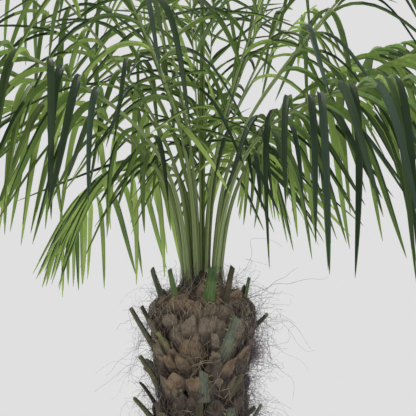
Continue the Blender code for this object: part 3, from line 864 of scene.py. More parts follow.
def grooved_bar(rings):
    """A bar with a rounded back and a channelled top, through rings of (share, width, height)."""
    upright = (math.pi / 2, 0, 0)
    bpy.ops.mesh.primitive_circle_add(vertices=BAR_SIDES, radius=1, fill_type="NGON", rotation=upright)
    bpy.ops.object.transform_apply(rotation=True)
    begin(bpy.context.object)
    pick(lambda co: abs(co.x) < 0.3 and co.z > 0)
    squeeze(z=0.45)
    pick(lambda co: abs(co.x) > 0.95)
    shift(z=0.18)
    bpy.ops.mesh.select_all(action="SELECT")
    squeeze(rings[0][1], 1, rings[0][2])
    draw_out(rings)


stub_sizes = [(share, 1 + (STUB_END - 1) * share) for share in np.linspace(0, 1, STUB_RINGS)]
grooved_bar([(share, size, size) for share, size in stub_sizes])
stub_bar = take_master(lambda centre, normal: 1 if centre.y > 0.99 else 0)
print("a cut stalk has", len(stub_bar.starts), "faces")

# %% [markdown]
# A cut stalk stays green and smooth for a while, and dries to olive, brown and grey. One finish with
# streaks along the stalk serves for all, and each tone gives it two colours and a roughness. The cut itself
# is pale and fibrous.


# %% Finishes of cut stalks
def stub_finish(name, colour, dark, roughness):
    """Leathery skin that dries in streaks along its length."""
    finish = Finish(name, {"Roughness": roughness, "Specular IOR Level": 0.35})
    streaks = finish.noise(finish.stretched(finish.place("UV"), (9, 1.6, 1)), 1.0, 5)
    blotches = finish.noise(finish.place("Object"), 55, 3)
    share = (streaks * 0.75 + blotches * 0.45).over(0.38, 0.80)
    finish.feed("Base Color", finish.mix(share, dark, colour))
    finish.bump(streaks, 0.002, 0.6)
    return finish


cut_end = bark_finish("cut_end", rgb(0.200, 0.165, 0.105), rgb(0.070, 0.052, 0.034))
STUB_TONES = {
    "green": (rgb(0.128, 0.205, 0.058), rgb(0.026, 0.066, 0.020), 0.60),
    # This tone is the green one, darker and greyer, as painted shade
    "shaded green": (rgb(0.100, 0.128, 0.060), rgb(0.026, 0.036, 0.020), 0.70),
    "olive": (rgb(0.170, 0.180, 0.085), rgb(0.060, 0.062, 0.032), 0.65),
    "grey": (rgb(0.215, 0.240, 0.170), rgb(0.080, 0.090, 0.060), 0.70),
    "brown": (rgb(0.100, 0.088, 0.052), rgb(0.034, 0.030, 0.018), 0.80),
    "yellow": (rgb(0.270, 0.275, 0.110), rgb(0.110, 0.105, 0.050), 0.65),
}
stub_finishes = []
for tone, facts in STUB_TONES.items():
    stub_finishes += [stub_finish("stub_" + tone.replace(" ", "_"), *facts), cut_end]
print(len(stub_finishes) // 2, "tones of cut stalks")

# %% [markdown]
# Each stub follows a line from its base, which leans out from the trunk and bows a little. Its end is
# slanted to one side, as a knife or a saw leaves it.

# %% All cut stalks
STUB_ROOT, STUB_SWELLS, THICKNESS_OF_WIDTH = 0.016, 0.35, 0.45
STUB_BOWS, MOST_SLANT = (-0.15, 0.35), 0.7


def stub_lines(rng):
    """Lines that bow a little, one for each stub, with their tones."""
    shares = np.linspace(0, 1, STUB_RINGS)[:, None]
    rows, tones = [], []
    for stub in stubs:
        root = around(stub.direction, trunk_radius(stub.height) + BASE_STANDS_OUT, stub.height)
        outwards, sideways = around(stub.direction, 1, 0), around(stub.direction + 90, 1, 0)
        lean = math.radians(stub.lean) + rng.uniform(*STUB_BOWS) * (shares - 0.5)
        along = unit(outwards * np.tan(lean) + sideways * math.tan(math.radians(stub.tilt)) + UP)
        halfway = (along[1:] + along[:-1]) / 2
        steps = np.vstack([np.zeros(3), np.cumsum(halfway, 0) * (stub.length / (STUB_RINGS - 1))])
        points = root + steps - along[0] * STUB_ROOT * (1 - shares) ** 2
        across = unit(along * (along @ sideways)[:, None] - sideways)
        rows.append((points, across, np.cross(across, along)))
        tones.append(list(STUB_TONES).index(stub.tone))
    points, across, upper = (np.array(part) for part in zip(*rows))
    swell = 1 + STUB_SWELLS * (1 - shares.ravel()) ** 3
    width = np.array([stub.width / 2 for stub in stubs])[:, None] * swell
    return Lines(points, across, upper, width, width * THICKNESS_OF_WIDTH), np.array(tones)


def slanted(placed, lines, rng):
    """Each stub's cut end, slanted to one side by the knife."""
    at_end = stub_bar.points[:, 1] > 0.999
    along = unit(lines.points[:, -1] - lines.points[:, -2])
    for copy, way, half in zip(placed, along, lines.width[:, -1]):
        slant = rng.uniform(-MOST_SLANT, MOST_SLANT) * half * stub_bar.points[at_end, 0]
        copy[at_end] += way * slant[:, None]
    return placed


stub_places, stub_tones = stub_lines(random.Random(31))
stub_points = slanted(along_lines(stub_bar, stub_places), stub_places, random.Random(32))
belongs(joined("trunk_stubs", stub_bar, stub_points, stub_finishes, stub_tones), "bark", "trunk")

# %% [markdown]
# The edges of the stalks carry thorns. One thorn is a four-sided cone, drawn to a point, and its line has
# only two points, because a thorn is straight.

# %% The thorn
bpy.ops.mesh.primitive_cone_add(
    vertices=4, radius1=1, radius2=0.03, depth=1, location=(0, 0.5, 0), rotation=(-math.pi / 2, 0, 0)
)
begin(bpy.context.object)
thorn = take_master()
thorn_straw = Finish("thorn_straw", {"Roughness": 0.55})
grain = thorn_straw.noise(thorn_straw.place("Object"), 90, 2)
thorn_straw.feed("Base Color", thorn_straw.mix(grain, rgb(0.26, 0.27, 0.12), rgb(0.46, 0.44, 0.24)))
print("a thorn has", len(thorn.starts), "faces")

# %% Thorns of the cut stalks
THORNS_A_STUB, THORNS_FROM_WIDTH = 13, 0.022
THORN_LENGTHS, THORN_WIDTHS = (0.006, 0.015), (0.0008, 0.0016)


def straight_lines(starts, ways, lengths, widths):
    """Short straight lines, for thorns."""
    starts, ways = np.array(starts), unit(np.array(ways))
    reach = np.array([0.0, 1.0])[None, :, None] * np.array(lengths)[:, None, None]
    across = unit(np.cross(ways, UP + 0.01))
    upper = np.cross(across, ways)
    width = np.repeat(np.array(widths)[:, None], 2, 1)
    twice = [np.repeat(part[:, None], 2, 1) for part in (across, upper)]
    return Lines(starts[:, None] + ways[:, None] * reach, *twice, width, width)


def thorns_of_stubs(rng):
    """Thorns on both edges of the broader stubs, and more of them on the left, as photographed."""
    starts, ways, lengths, widths = [], [], [], []
    for line, width, stub in zip(stub_places.points, stub_places.width, stubs):
        if stub.width < THORNS_FROM_WIDTH or stub.tone == "brown":
            continue
        sideways = around(stub.direction + 90, 1, 0)
        for thorn_place in range(THORNS_A_STUB):
            share, sign = rng.uniform(0.10, 0.95), rng.choice((-1, -1, 1))
            place = share * (STUB_RINGS - 1)
            index = int(place)
            along = unit(line[index + 1] - line[index])
            half = width[index] * (1 + (STUB_END - 1) * share)
            middle = line[index] + (line[index + 1] - line[index]) * (place - index)
            starts.append(middle + sideways * sign * half * 0.93)
            ways.append(sideways * sign + along * rng.uniform(0.2, 0.9))
            lengths.append(rng.uniform(*THORN_LENGTHS))
            widths.append(rng.uniform(*THORN_WIDTHS))
    return straight_lines(starts, ways, lengths, widths)


stub_thorns = along_lines(thorn, thorns_of_stubs(random.Random(33)))
belongs(joined("trunk_thorns", thorn, stub_thorns, [thorn_straw]), "bark", "trunk")

# %% [markdown]
# ## Fibre
# Black-brown, wiry fibre grows out between the husks. Most of it lies in mats on the trunk, and the rest
# stands off in fine curls. One strand is a three-sided thread, drawn out along its length and thinned.
# Curls have many rings, and the short strands of the mats, which hardly show a bend, have few.

# %% The strands
CURL_RINGS, SHORT_RINGS, STRAND_END = 18, 6, 0.4


def strand_master(steps):
    """A three-sided thread that thins towards its end."""
    bpy.ops.mesh.primitive_circle_add(vertices=3, radius=1, fill_type="NGON", rotation=(math.pi / 2, 0, 0))
    bpy.ops.object.transform_apply(rotation=True)
    begin(bpy.context.object)
    bpy.ops.mesh.select_all(action="SELECT")
    thinner = [(share, 1 - (1 - STRAND_END) * share) for share in np.linspace(0, 1, steps + 1)]
    draw_out([(share, size, size) for share, size in thinner])
    return take_master()


strand, short_strand = strand_master(CURL_RINGS), strand_master(SHORT_RINGS)
print("a strand has", len(strand.starts), "faces")

# %% Fibre finishes
FIBRE_TONES = {
    "black": (rgb(0.022, 0.019, 0.028), rgb(0.060, 0.052, 0.070)),
    "brown": (rgb(0.070, 0.048, 0.036), rgb(0.150, 0.108, 0.078)),
    "pale": (rgb(0.240, 0.195, 0.130), rgb(0.480, 0.410, 0.285)),
    "plum": (rgb(0.150, 0.105, 0.095), rgb(0.270, 0.200, 0.175)),
    "violet": (rgb(0.040, 0.034, 0.062), rgb(0.105, 0.092, 0.150)),
}
BLACK, BROWN, PALE, PLUM, VIOLET = range(len(FIBRE_TONES))


def fibre_finish(name, colour, lighter):
    finish = Finish(name, {"Roughness": 0.6})
    share = finish.noise(finish.place("Object"), 30, 2).over(0.35, 0.7)
    finish.feed("Base Color", finish.mix(share, colour, lighter))
    return finish


fibre_finishes = [fibre_finish("fibre_" + tone, *colours) for tone, colours in FIBRE_TONES.items()]
print(len(fibre_finishes), "tones of fibre")

# %% [markdown]
# A strand isn't a wave laid over a straight run, but a wire that keeps changing its heading. So its line is
# walked in small steps, whose heading swings with three waves of different lengths, and falls as the strand
# gets heavy.

# %% Lines of strands
STRAND_STEPS = 40
# Waves along a strand, and how far each swings the heading
SWINGS = ((0.9, 1.0), (2.3, 0.55), (5.5, 0.30))
WAVES_VARY, SWING_VARIES, SWING_GROWS = (0.6, 1.5), (0.4, 1.3), 0.4
LOWEST, NO_LENGTH = 0.003, 1e-9


def swinging(rng, ways, turns, sag):
    """Headings along strands, as strands x steps x 3."""
    count = len(ways)
    shares = (np.arange(STRAND_STEPS) + 0.5) / STRAND_STEPS
    first = unit(np.cross(ways, rng.normal(size=(count, 3))))
    heading = ways[:, None]
    for across in (first, np.cross(ways, first)):
        for waves, size in SWINGS:
            phase = rng.uniform(0, 2 * np.pi, (count, 1))
            speed = waves * rng.uniform(*WAVES_VARY, (count, 1))
            swing = np.sin(2 * np.pi * speed * shares + phase) * shares**SWING_GROWS
            grown = swing * (turns * size * rng.uniform(*SWING_VARIES, count))[:, None]
            heading = heading + across[:, None] * grown[..., None]
    return unit(heading - UP * (sag * shares)[:, None])


def strand_lines(rng, starts, ways, lengths, turns, sag, thickness, nearest, farthest):
    """Wiry lines from the trunk, which turn this way and that as they grow.

    Each keeps between two distances off the trunk's skin, and above the ground.
    """
    count = len(starts)
    steps = swinging(rng, unit(ways), turns, sag) * (lengths / STRAND_STEPS)[:, None, None]
    points = starts[:, None] + np.concatenate([np.zeros((count, 1, 3)), np.cumsum(steps, 1)], 1)
    points[..., 2] = np.clip(points[..., 2], LOWEST, None)
    off_axis = np.hypot(points[..., 0], points[..., 1])
    girth = skin_radius(points[..., 2])
    wanted = np.clip(off_axis, girth + nearest, girth + np.broadcast_to(farthest, count)[:, None])
    points[..., :2] *= (wanted / np.maximum(off_axis, 1e-6))[..., None]
    points[:, 0] = starts
    heading = unit(np.gradient(points, axis=1) + NO_LENGTH)
    across = unit(np.cross(heading, rng.normal(size=(count, 1, 3))))
    width = np.repeat(thickness[:, None], STRAND_STEPS + 1, 1)
    return Lines(points, across, np.cross(across, heading), width, width)


print("a strand is walked in", STRAND_STEPS, "steps")

# %% Where strands grow
# They crowd on the right in the photograph, and a third as many on the left: middle and spread in degrees
CROWD_RIGHT, CROWD_LEFT = (78, 26), (-80, 16)


def thatch(rng, count, low, high, right_share):
    """Places on the trunk's skin, some of them crowded on the right, and a third as many on the left."""
    direction, draw = rng.uniform(-180, 180, count), rng.random(count)
    right, left = draw < right_share, draw > 1 - right_share / 3
    direction[right] = rng.normal(*CROWD_RIGHT, right.sum())
    direction[left] = rng.normal(*CROWD_LEFT, left.sum())
    return direction, low + (high - low) * rng.random(count)


print("strands crowd at", CROWD_RIGHT[0], "and", CROWD_LEFT[0], "degrees")

# %% [markdown]
# Between and over the husks the fibre lies in mats, dark low down and browner near the crown. Their strands
# are short, run up and down the trunk, and stay within a few millimetres of the husks.

# %% Mats of fibre on the husks
# The share of black strands, and of black and brown ones, with what each gains low on the trunk
BLACK_SHARE, BROWN_SHARE = (0.22, 0.40), (0.56, 0.26)
MAT_THICKNESS, PALE_THICKER, MAT_TURNS, MAT_SAG = (0.0004, 0.0008), 1.3, 0.45, 0.1
# name, seed, how many, from and up to which height, share on the right, lengths, nearest to the skin
MATS = (
    ("fibre_mats_upper", 41, 1900, 1.05, 1.46, 0.12, (0.03, 0.10), 0.012),
    ("fibre_mats_lower", 42, 2000, 0.03, 1.10, 0.04, (0.05, 0.13), 0.014),
    ("fibre_mats_dark", 44, 500, 1.08, 1.22, 0.10, (0.04, 0.10), 0.020),
    ("fibre_mats_right", 46, 700, 1.33, 1.47, 0.95, (0.03, 0.08), 0.022),
    ("fibre_collar", 43, 900, 1.42, 1.50, 0.35, (0.03, 0.07), 0.002),
    ("fibre_collar_front", 47, 600, 1.400, 1.458, 0.25, (0.02, 0.05), 0.034),
)


def mats(rng, count, low, high, right_share, lengths, nearest):
    """Lines of one mat's strands, and their tones."""
    direction, height = thatch(rng, count, low, high, right_share)
    lift = rng.uniform(0.002, 0.014, count)
    starts = around(direction, skin_radius(height) + lift, height)
    sideways, outwards = around(direction + 90, 1, 0), around(direction, 1, 0)
    slant = rng.normal(0, 0.8, (count, 1))
    up_or_down = UP * rng.choice([-1.0, 1.0], (count, 1))
    ways = up_or_down + sideways * slant + outwards * rng.uniform(0.0, 0.15, (count, 1))
    lengths = rng.uniform(*lengths, count)
    dark = smooth((DARK_BELOW - height) / DARK_OVER)
    draw = rng.random(count)
    brown_or_pale = np.where(draw < BROWN_SHARE[0] + BROWN_SHARE[1] * dark, BROWN, PALE)
    tones = np.where(draw < BLACK_SHARE[0] + BLACK_SHARE[1] * dark, BLACK, brown_or_pale)
    thickness = rng.uniform(*MAT_THICKNESS, count) * np.where(tones == PALE, PALE_THICKER, 1.0)
    farthest = nearest + rng.uniform(0.002, 0.014, count)
    return strand_lines(rng, starts, ways, lengths, MAT_TURNS, MAT_SAG, thickness, nearest, farthest), tones


for name, seed, *facts in MATS:
    mat_lines, mat_tones = mats(np.random.default_rng(seed), *facts)
    mat = joined(name, short_strand, along_lines(short_strand, mat_lines), fibre_finishes, mat_tones)
    belongs(mat, "bark", "trunk")

# %% [markdown]
# Pale, dry strands lie across the husks in all directions, and catch the light. They use the short strand
# too.

# %% Straw on the husks
STRAWS, STRAW_LIFT, STRAW_HEIGHTS = 1300, 0.020, (0.10, 1.47)


def straw(rng, count):
    direction, height = rng.uniform(-180, 180, count), rng.uniform(*STRAW_HEIGHTS, count)
    starts = around(direction, skin_radius(height) + STRAW_LIFT, height)
    level = around(direction + 90, 1, 0) * rng.normal(0, 0.8, (count, 1))
    ways = level + UP * rng.normal(0, 1, (count, 1))
    lengths, thickness = rng.uniform(0.02, 0.07, count), rng.uniform(0.0005, 0.0010, count)
    return strand_lines(rng, starts, ways, lengths, 0.35, 0.1, thickness, 0.021, 0.032)


straw_lines = straw(np.random.default_rng(45), STRAWS)
straws = joined("fibre_straw", short_strand, along_lines(short_strand, straw_lines), fibre_finishes, PALE)
belongs(straws, "bark", "trunk")

# %% [markdown]
# The rest stands off the trunk as a halo of fine curls, which look bluish against the pale background. It is
# thickest on the right, near the crown. A few long arcs hang lower. All use the strand with many rings, and
# turn far more.

# %% Curls of fibre that stand off the trunk
CURLS_REACH, VIOLET_SHARE, CURL_THICKNESS = 0.22, 0.82, (0.00028, 0.00052)
# name, seed, how many, from and up to which height, share on the right, lengths, turns, sag
CURLS = (
    ("fibre_curls_upper", 51, 1500, 1.10, 1.49, 0.50, (0.03, 0.16), 1.6, 0.4),
    ("fibre_curls_lower", 52, 650, 0.06, 1.12, 0.10, (0.03, 0.14), 1.5, 0.5),
    ("fibre_arcs", 53, 300, 0.45, 1.48, 0.35, (0.12, 0.28), 1.0, 1.1),
)


def curls(rng, count, low, high, right_share, reach, turns, sag):
    """Lines of curls, and their tones."""
    direction, height = thatch(rng, count, low, high, right_share)
    starts = around(direction, skin_radius(height) + 0.006, height)
    sideways, outwards = around(direction + 90, 1, 0), around(direction, 1, 0)
    ways = outwards * rng.uniform(0.2, 1.0, (count, 1))
    ways = ways + sideways * rng.normal(0, 0.6, (count, 1))
    ways = ways + UP * rng.normal(0.1, 0.7, (count, 1))
    lengths = rng.uniform(*reach, count)
    thickness = rng.uniform(*CURL_THICKNESS, count)
    lines = strand_lines(rng, starts, ways, lengths, turns, sag, thickness, 0.010, CURLS_REACH)
    return lines, np.where(rng.random(count) < VIOLET_SHARE, VIOLET, BROWN)


for name, seed, *facts in CURLS:
    curl_lines, curl_tones = curls(np.random.default_rng(seed), *facts)
    curl = joined(name, strand, along_lines(strand, curl_lines), fibre_finishes, curl_tones)
    belongs(curl, "bark", "trunk")

# %% [markdown]
# Two things stand out beside the trunk in the photograph: a ball of fine, plum-brown fibre at its right
# edge, and a wisp of three strands that springs away to the right. Both come from the same rule as the
# curls.

# %% A tangle on the right, and one long wisp
TANGLE_STRANDS, TANGLE_DIRECTION, TANGLE_HEIGHT = 220, 86, 1.328
WISP_START, WISP_WAY = (80, 0.10, 1.45), (88, 1, 0.50)
WISP_LENGTHS, WISP_THICKNESS = np.array([0.24, 0.17, 0.11]), 0.0006


def tangle(rng, count):
    """A ball of fine, plum-brown fibre that hangs at the trunk's right edge."""
    direction = rng.normal(TANGLE_DIRECTION, 5, count)
    height = rng.normal(TANGLE_HEIGHT, 0.012, count)
    starts = around(direction, skin_radius(height) + rng.uniform(0.012, 0.038, count), height)
    ways = rng.normal(0, 1, (count, 3))
    lengths = rng.uniform(0.025, 0.06, count)
    thickness = rng.uniform(0.00035, 0.0006, count)
    return strand_lines(rng, starts, ways, lengths, 1.6, 0.2, thickness, 0.010, 0.055)


def wisp(rng):
    """Thin strands that spring up and away to the right."""
    count = len(WISP_LENGTHS)
    starts = np.repeat(around(*WISP_START)[None], count, 0)
    ways = around(*WISP_WAY) + rng.normal(0, 0.10, (count, 3))
    thickness = np.full(count, WISP_THICKNESS)
    return strand_lines(rng, starts, ways, WISP_LENGTHS, 0.45, 0.1, thickness, 0.010, 0.30)


tangle_lines, wisp_lines = tangle(np.random.default_rng(61), TANGLE_STRANDS), wisp(np.random.default_rng(62))
for name, lines, tone in (("fibre_tangle", tangle_lines, PLUM), ("fibre_wisp", wisp_lines, VIOLET)):
    piece = joined(name, strand, along_lines(strand, lines), fibre_finishes, tone)
    belongs(piece, "bark", "trunk")

# %% [markdown]
# ## Leaflets
# A leaflet is a long strap, folded to a shallow V along its midrib, narrow at its root, broad for most of
# its length and drawn out to a point. One six-cornered section is extruded along it: two edges, a pale
# strip along the middle of the upper side, and a keel below.

# %% The leaflet
# Shares of its length, of its width and of its height
LEAFLET_RINGS = (
    (0.00, 0.30, 0.90),
    (0.03, 0.42, 0.95),
    (0.08, 0.64, 1.00),
    (0.14, 0.86, 1.00),
    (0.20, 0.98, 0.95),
    (0.27, 1.00, 0.90),
    (0.35, 0.98, 0.82),
    (0.43, 0.94, 0.75),
    (0.51, 0.89, 0.70),
    (0.59, 0.83, 0.65),
    (0.67, 0.75, 0.60),
    (0.75, 0.65, 0.52),
    (0.82, 0.54, 0.45),
    (0.88, 0.42, 0.36),
    (0.93, 0.29, 0.27),
    (0.97, 0.16, 0.17),
    (1.00, 0.02, 0.06),
)
bpy.ops.mesh.primitive_circle_add(vertices=6, radius=1, fill_type="NGON", rotation=(math.pi / 2, 0, 0))
bpy.ops.object.transform_apply(rotation=True)
begin(bpy.context.object)
pick(lambda co: abs(co.x) < 0.6 and co.z > 0)
squeeze(0.15, 1, 0.05)
pick(lambda co: abs(co.x) < 0.6 and co.z < -0.1)
squeeze(0.20, 1, 0.12)
pick(lambda co: abs(co.x) > 0.9)
shift(z=0.34)
bpy.ops.mesh.select_all(action="SELECT")
squeeze(LEAFLET_RINGS[0][1], 1, LEAFLET_RINGS[0][2])
draw_out(LEAFLET_RINGS)
UPPER, MIDRIB, UNDER = 0, 1, 2


def leaflet_side(centre, normal):
    """The finish of a face. The ends count as the under side."""
    if abs(normal.y) > 0.9 or normal.z < 0:
        return UNDER
    return MIDRIB if abs(centre.x) < 0.02 else UPPER


leaflet = take_master(leaflet_side)
upper_faces = int((leaflet.finishes == UPPER).sum())
print("a leaflet has", len(leaflet.starts), "faces,", upper_faces, "of them on its upper side")

# %% [markdown]
# The upper side is dark, greyish and a little waxy, and the under side is a brighter yellow-green, as light
# shines through it. Fine veins run along both. Tones go to whole leaflets, so they stay sharp in any
# export.

# %% Leaf finishes
LEAF_GLOSS, DRY_FROM, DRY_TIP = 0.12, 0.955, rgb(0.23, 0.19, 0.09)
DARKER, LIGHTER = 0.72, 1.35
# A side's roughness, and how deep its veins are
SIDES = {"upper": (0.48, 0.35), "midrib": (0.40, 0.2), "under": (0.52, 0.35)}
# A tone's colours on its upper side, its midrib and its under side
LEAF_TONES = {
    "deep": ((0.027, 0.048, 0.021), (0.10, 0.15, 0.06), (0.130, 0.215, 0.052)),
    "grey": ((0.040, 0.068, 0.042), (0.12, 0.17, 0.09), (0.170, 0.265, 0.085)),
    "mid": ((0.050, 0.082, 0.028), (0.16, 0.23, 0.07), (0.280, 0.410, 0.100)),
    "fresh": ((0.130, 0.195, 0.050), (0.24, 0.33, 0.11), (0.390, 0.530, 0.150)),
}


def leaf_finish(name, colour, roughness, vein):
    """One side of a leaflet: fine veins, light and dark clouds, and a dry tip."""
    finish = Finish(name, {"Specular IOR Level": LEAF_GLOSS})
    shares = finish.place("UV")
    veins = finish.noise(finish.stretched(shares, (26, 1.2, 1)), 1.0, 3)
    cloud = finish.noise(finish.place("Object"), 7, 2)
    along = finish.node("ShaderNodeSeparateXYZ", {}, {"Vector": shares}, 1)
    light = (veins * 0.6 + cloud * 0.6).over(0.38, 0.82)
    green = finish.mix(light, shade(colour, DARKER), shade(colour, LIGHTER))
    finish.feed("Base Color", finish.mix(along.over(DRY_FROM, 1.0) * 0.7, green, DRY_TIP))
    finish.feed("Roughness", cloud * 0.2 + roughness)
    finish.bump(veins, 0.0006, vein)
    return finish


leaf_finishes = []
for tone, colours in LEAF_TONES.items():
    for colour, (side, facts) in zip(colours, SIDES.items()):
        leaf_finishes.append(leaf_finish(f"leaf_{tone}_{side}", rgb(*colour), *facts))
print(len(leaf_finishes), "leaf finishes")

# %% [markdown]
# In the photograph the near right frond is almost black-green, and those behind let the light through. So
# each frond deals out the four tones to its leaflets in shares of its own, by its whorl or as it is shown,
# and the darker shares are painted shade, the lighter ones painted light that shines through.

# %% Tones dealt out
TONE_SHARES = {
    "outer": (0.42, 0.28, 0.18, 0.12),
    "middle": (0.28, 0.22, 0.28, 0.22),
    "inner": (0.36, 0.26, 0.22, 0.16),
    "centre": (0.42, 0.28, 0.18, 0.12),
    # The dark shares are painted shade, and the lit and bright ones painted light shining through the
    # leaflets
    "dark": (0.56, 0.36, 0.08, 0.00),
    "lit": (0.14, 0.16, 0.42, 0.28),
    "brightly_lit": (0.04, 0.10, 0.30, 0.56),
}
# Fronds shown dark get painted shade, and those shown lit or bright get painted light
SHOWN_AS = {number: "dark" for number in (1, 9, 10, 19)} | {number: "outer" for number in (3, 13)}
SHOWN_AS |= {number: "lit" for number in (2, 4)} | {number: "brightly_lit" for number in (5, 6, 7, 12)}
FRESH = list(LEAF_TONES).index("fresh")
print(len(SHOWN_AS), "fronds are darker or lighter than their whorl")

# %% [markdown]
# Each leaflet leaves the rib forwards and aside, rises a little, then bends over and hangs. Beside the CAD
# law, a living one also twists, sways aside and differs from its neighbours. The law is worked out for all
# leaflets of a frond at once, as arrays with a row for each leaflet.

# %% Where leaflets stand, and how they set off
LEAFLETS_A_SIDE = {"outer": 22, "middle": 17, "inner": 16, "centre": 17}
# The two fronds on the near right, which the photograph shows in full, have more
MORE_LEAFLETS, NEAR_RIGHT = {1: 33, 2: 33}, 1
ALONG_VARIES = 0.25
FORWARD_AT_STALK, FORWARD_AT_TIP, FORWARD_VARIES = 54.0, 26.0, 8
LEAFLET_LIFT, LIFT_VARIES_BY = 28.0, (-14, 12)
# The youngest leaflets still stand up along their ribs: less droop, and degrees closer to the rib
YOUNG = {"inner": (0.10, 8), "centre": (0.26, 18)}


def leaflet_places(frond, rng):
    """Distances along the rib, on each side in turn."""
    count = 2 * MORE_LEAFLETS.get(frond.number, LEAFLETS_A_SIDE[frond.whorl])
    begin_at = frond.stalk + GAP / 2
    room = frond.length - begin_at
    along = begin_at + room * (np.arange(count) + 0.5) / count
    return along + rng.uniform(-ALONG_VARIES, ALONG_VARIES, count) * room / count


def leaflet_starts(frond, along, share, rng):
    """Roots on the rib, the ways that the leaflets set off in, and the ways that their width lies there."""
    count = len(along)
    sign = np.where(np.arange(count) % 2 == 0, 1.0, -1.0)[:, None]
    root, tangent, side, normal = frond.at(along)
    closer = YOUNG.get(frond.whorl, (0, 0))[1]
    forward = FORWARD_AT_STALK + (FORWARD_AT_TIP - FORWARD_AT_STALK) * share - closer
    forward = np.radians(forward + rng.normal(0, FORWARD_VARIES, count))[:, None]
    lift = np.radians(LEAFLET_LIFT + rng.uniform(*LIFT_VARIES_BY, count))[:, None]
    outward = side * sign * np.cos(lift) + normal * np.sin(lift)
    start = tangent * np.cos(forward) + outward * np.sin(forward)
    return root, start, tangent * np.sin(forward) - outward * np.cos(forward)


print("a frond has", 2 * LEAFLETS_A_SIDE["centre"], "to", 2 * MORE_LEAFLETS[NEAR_RIGHT], "leaflets")

# %% How long and broad leaflets are
LEAFLET_SHARE, LENGTH_VARIES = 0.36, (0.82, 1.04)
LENGTH_AT_STALK, FULL_LENGTH_BY = 0.44, 0.24
LENGTH_AT_TIP, SHORTER_FROM = 0.48, 0.45
NEAR_RIGHT_AT_STALK, NEAR_RIGHT_LONGER = 0.66, 1.07
LEAFLET_WIDTHS = {"outer": 0.0195, "middle": 0.0155, "inner": 0.0128, "centre": 0.0110}
WIDTH_AT_STALK, FULL_WIDTH_BY = 0.7, 0.18
NARROWER_BY, NARROWER_FROM, WIDTH_VARIES = 0.25, 0.6, (0.85, 1.08)
# A leaflet hangs in this many steps, and its width is given at the end of each
HANG_STEPS = 24


def leaflet_lengths(frond, share, rng):
    """They are shorter near the stalk and towards the tip."""
    at_stalk = NEAR_RIGHT_AT_STALK if frond.number == NEAR_RIGHT else LENGTH_AT_STALK
    grown = at_stalk + (1 - at_stalk) * smooth(share / FULL_LENGTH_BY)
    fading = 1 - (1 - LENGTH_AT_TIP) * smooth((share - SHORTER_FROM) / (1 - SHORTER_FROM))
    length = LEAFLET_SHARE * frond.length * frond.leaflets * grown * fading
    length = length * rng.uniform(*LENGTH_VARIES, len(share))
    return length * NEAR_RIGHT_LONGER if frond.number == NEAR_RIGHT else length


def leaflet_widths(frond, share, rng):
    """Half widths at every point of the lines."""
    near_stalk = WIDTH_AT_STALK + (1 - WIDTH_AT_STALK) * smooth(share / FULL_WIDTH_BY)
    near_tip = 1 - NARROWER_BY * smooth((share - NARROWER_FROM) / (1 - NARROWER_FROM))
    width = LEAFLET_WIDTHS[frond.whorl] / 2 * near_stalk * near_tip
    return np.repeat((width * rng.uniform(*WIDTH_VARIES, len(share)))[:, None], HANG_STEPS + 1, 1)


print("the longest leaflets are about", round(LEAFLET_SHARE * fronds[0].length, 2), "m")

# %% How leaflets hang
LEVEL_FROM, TWIST, TWIST_BY, SWAY = 0.5, 0.35, 0.8, 0.05
MOST_DROOP, MORE_DROOP, DROOP_VARIES = 0.97, 0.05, (1.6, 0.07)
# How soon the leaflets of a whorl bend over, from and up to
QUICKNESS = {"outer": (3.2, 6.0), "middle": (2.4, 4.8), "inner": (2.0, 3.8), "centre": (1.8, 3.2)}
LINE_SHARES = np.linspace(0, 1, HANG_STEPS + 1)


def hanging(root, start, length, droop, quickness):
    """Points and headings of lines that bend down, most of all near the rib."""
    axis = unit(np.cross(UP, start))
    reach = np.arccos(np.clip(-start[:, 2], -1, 1))
    places = np.concatenate([[0.0], (np.arange(HANG_STEPS) + 0.5) / HANG_STEPS])
    bend = ((reach * droop)[:, None] * (1 - (1 - places) ** quickness))[..., None]
    heading = start[:, None] * np.cos(bend) + np.cross(axis, start)[:, None] * np.sin(bend)
    steps = heading[:, 1:] * (length / HANG_STEPS)[:, None, None]
    return root[:, None] + np.concatenate([np.zeros((len(root), 1, 3)), np.cumsum(steps, 1)], 1), heading


def lie_of(start, across, level, heading, rng):
    """The ways of the width and of the upper side: the width turns level by half the length, and twists."""
    turned = across[:, None] + (level - across)[:, None] * smooth(LINE_SHARES / LEVEL_FROM)[:, None]
    turned = unit(turned - heading * (turned * heading).sum(-1, keepdims=True))
    turned = turned * np.where(np.cross(across, start)[:, 2] >= 0, 1.0, -1.0)[:, None, None]
    upper = np.cross(turned, heading)
    twist = (rng.normal(0, TWIST, len(start))[:, None] * smooth(LINE_SHARES / TWIST_BY))[..., None]
    return turned * np.cos(twist) + upper * np.sin(twist), upper * np.cos(twist) - turned * np.sin(twist)


def leaflet_lines(frond, rng):
    """Lines of all of a frond's leaflets."""
    along = leaflet_places(frond, rng)
    count = len(along)
    share = (along - frond.stalk) / (frond.length - frond.stalk)
    root, start, across = leaflet_starts(frond, along, share, rng)
    length = leaflet_lengths(frond, share, rng)
    less_droop = YOUNG.get(frond.whorl, (0, 0))[0]
    droop = frond.droop - less_droop + MORE_DROOP - rng.gamma(*DROOP_VARIES, count)
    quickness = rng.uniform(*QUICKNESS[frond.whorl], (count, 1))
    points, heading = hanging(root, start, length, np.minimum(droop, MOST_DROOP), quickness)
    level = unit(np.cross(start, UP))
    level *= np.where((level * across).sum(-1) < 0, -1.0, 1.0)[:, None]
    sway = (rng.uniform(-SWAY, SWAY, count) * length)[:, None] * LINE_SHARES**2
    points = points + level[:, None] * sway[..., None]
    turned, upper = lie_of(start, across, level, heading, rng)
    width = leaflet_widths(frond, share, rng)
    return Lines(points, turned, upper, width, width)


print("a leaflet's line has", len(LINE_SHARES), "points")

# %% [markdown]
# The pale background shows through the crown in a few places. Some of the leaflets that would cross such a
# place in the photograph are left out, by a seeded draw. Which ones cross it is worked out once, from the
# place and the tilt that the camera was given above, so the palm is the same mesh in every view.

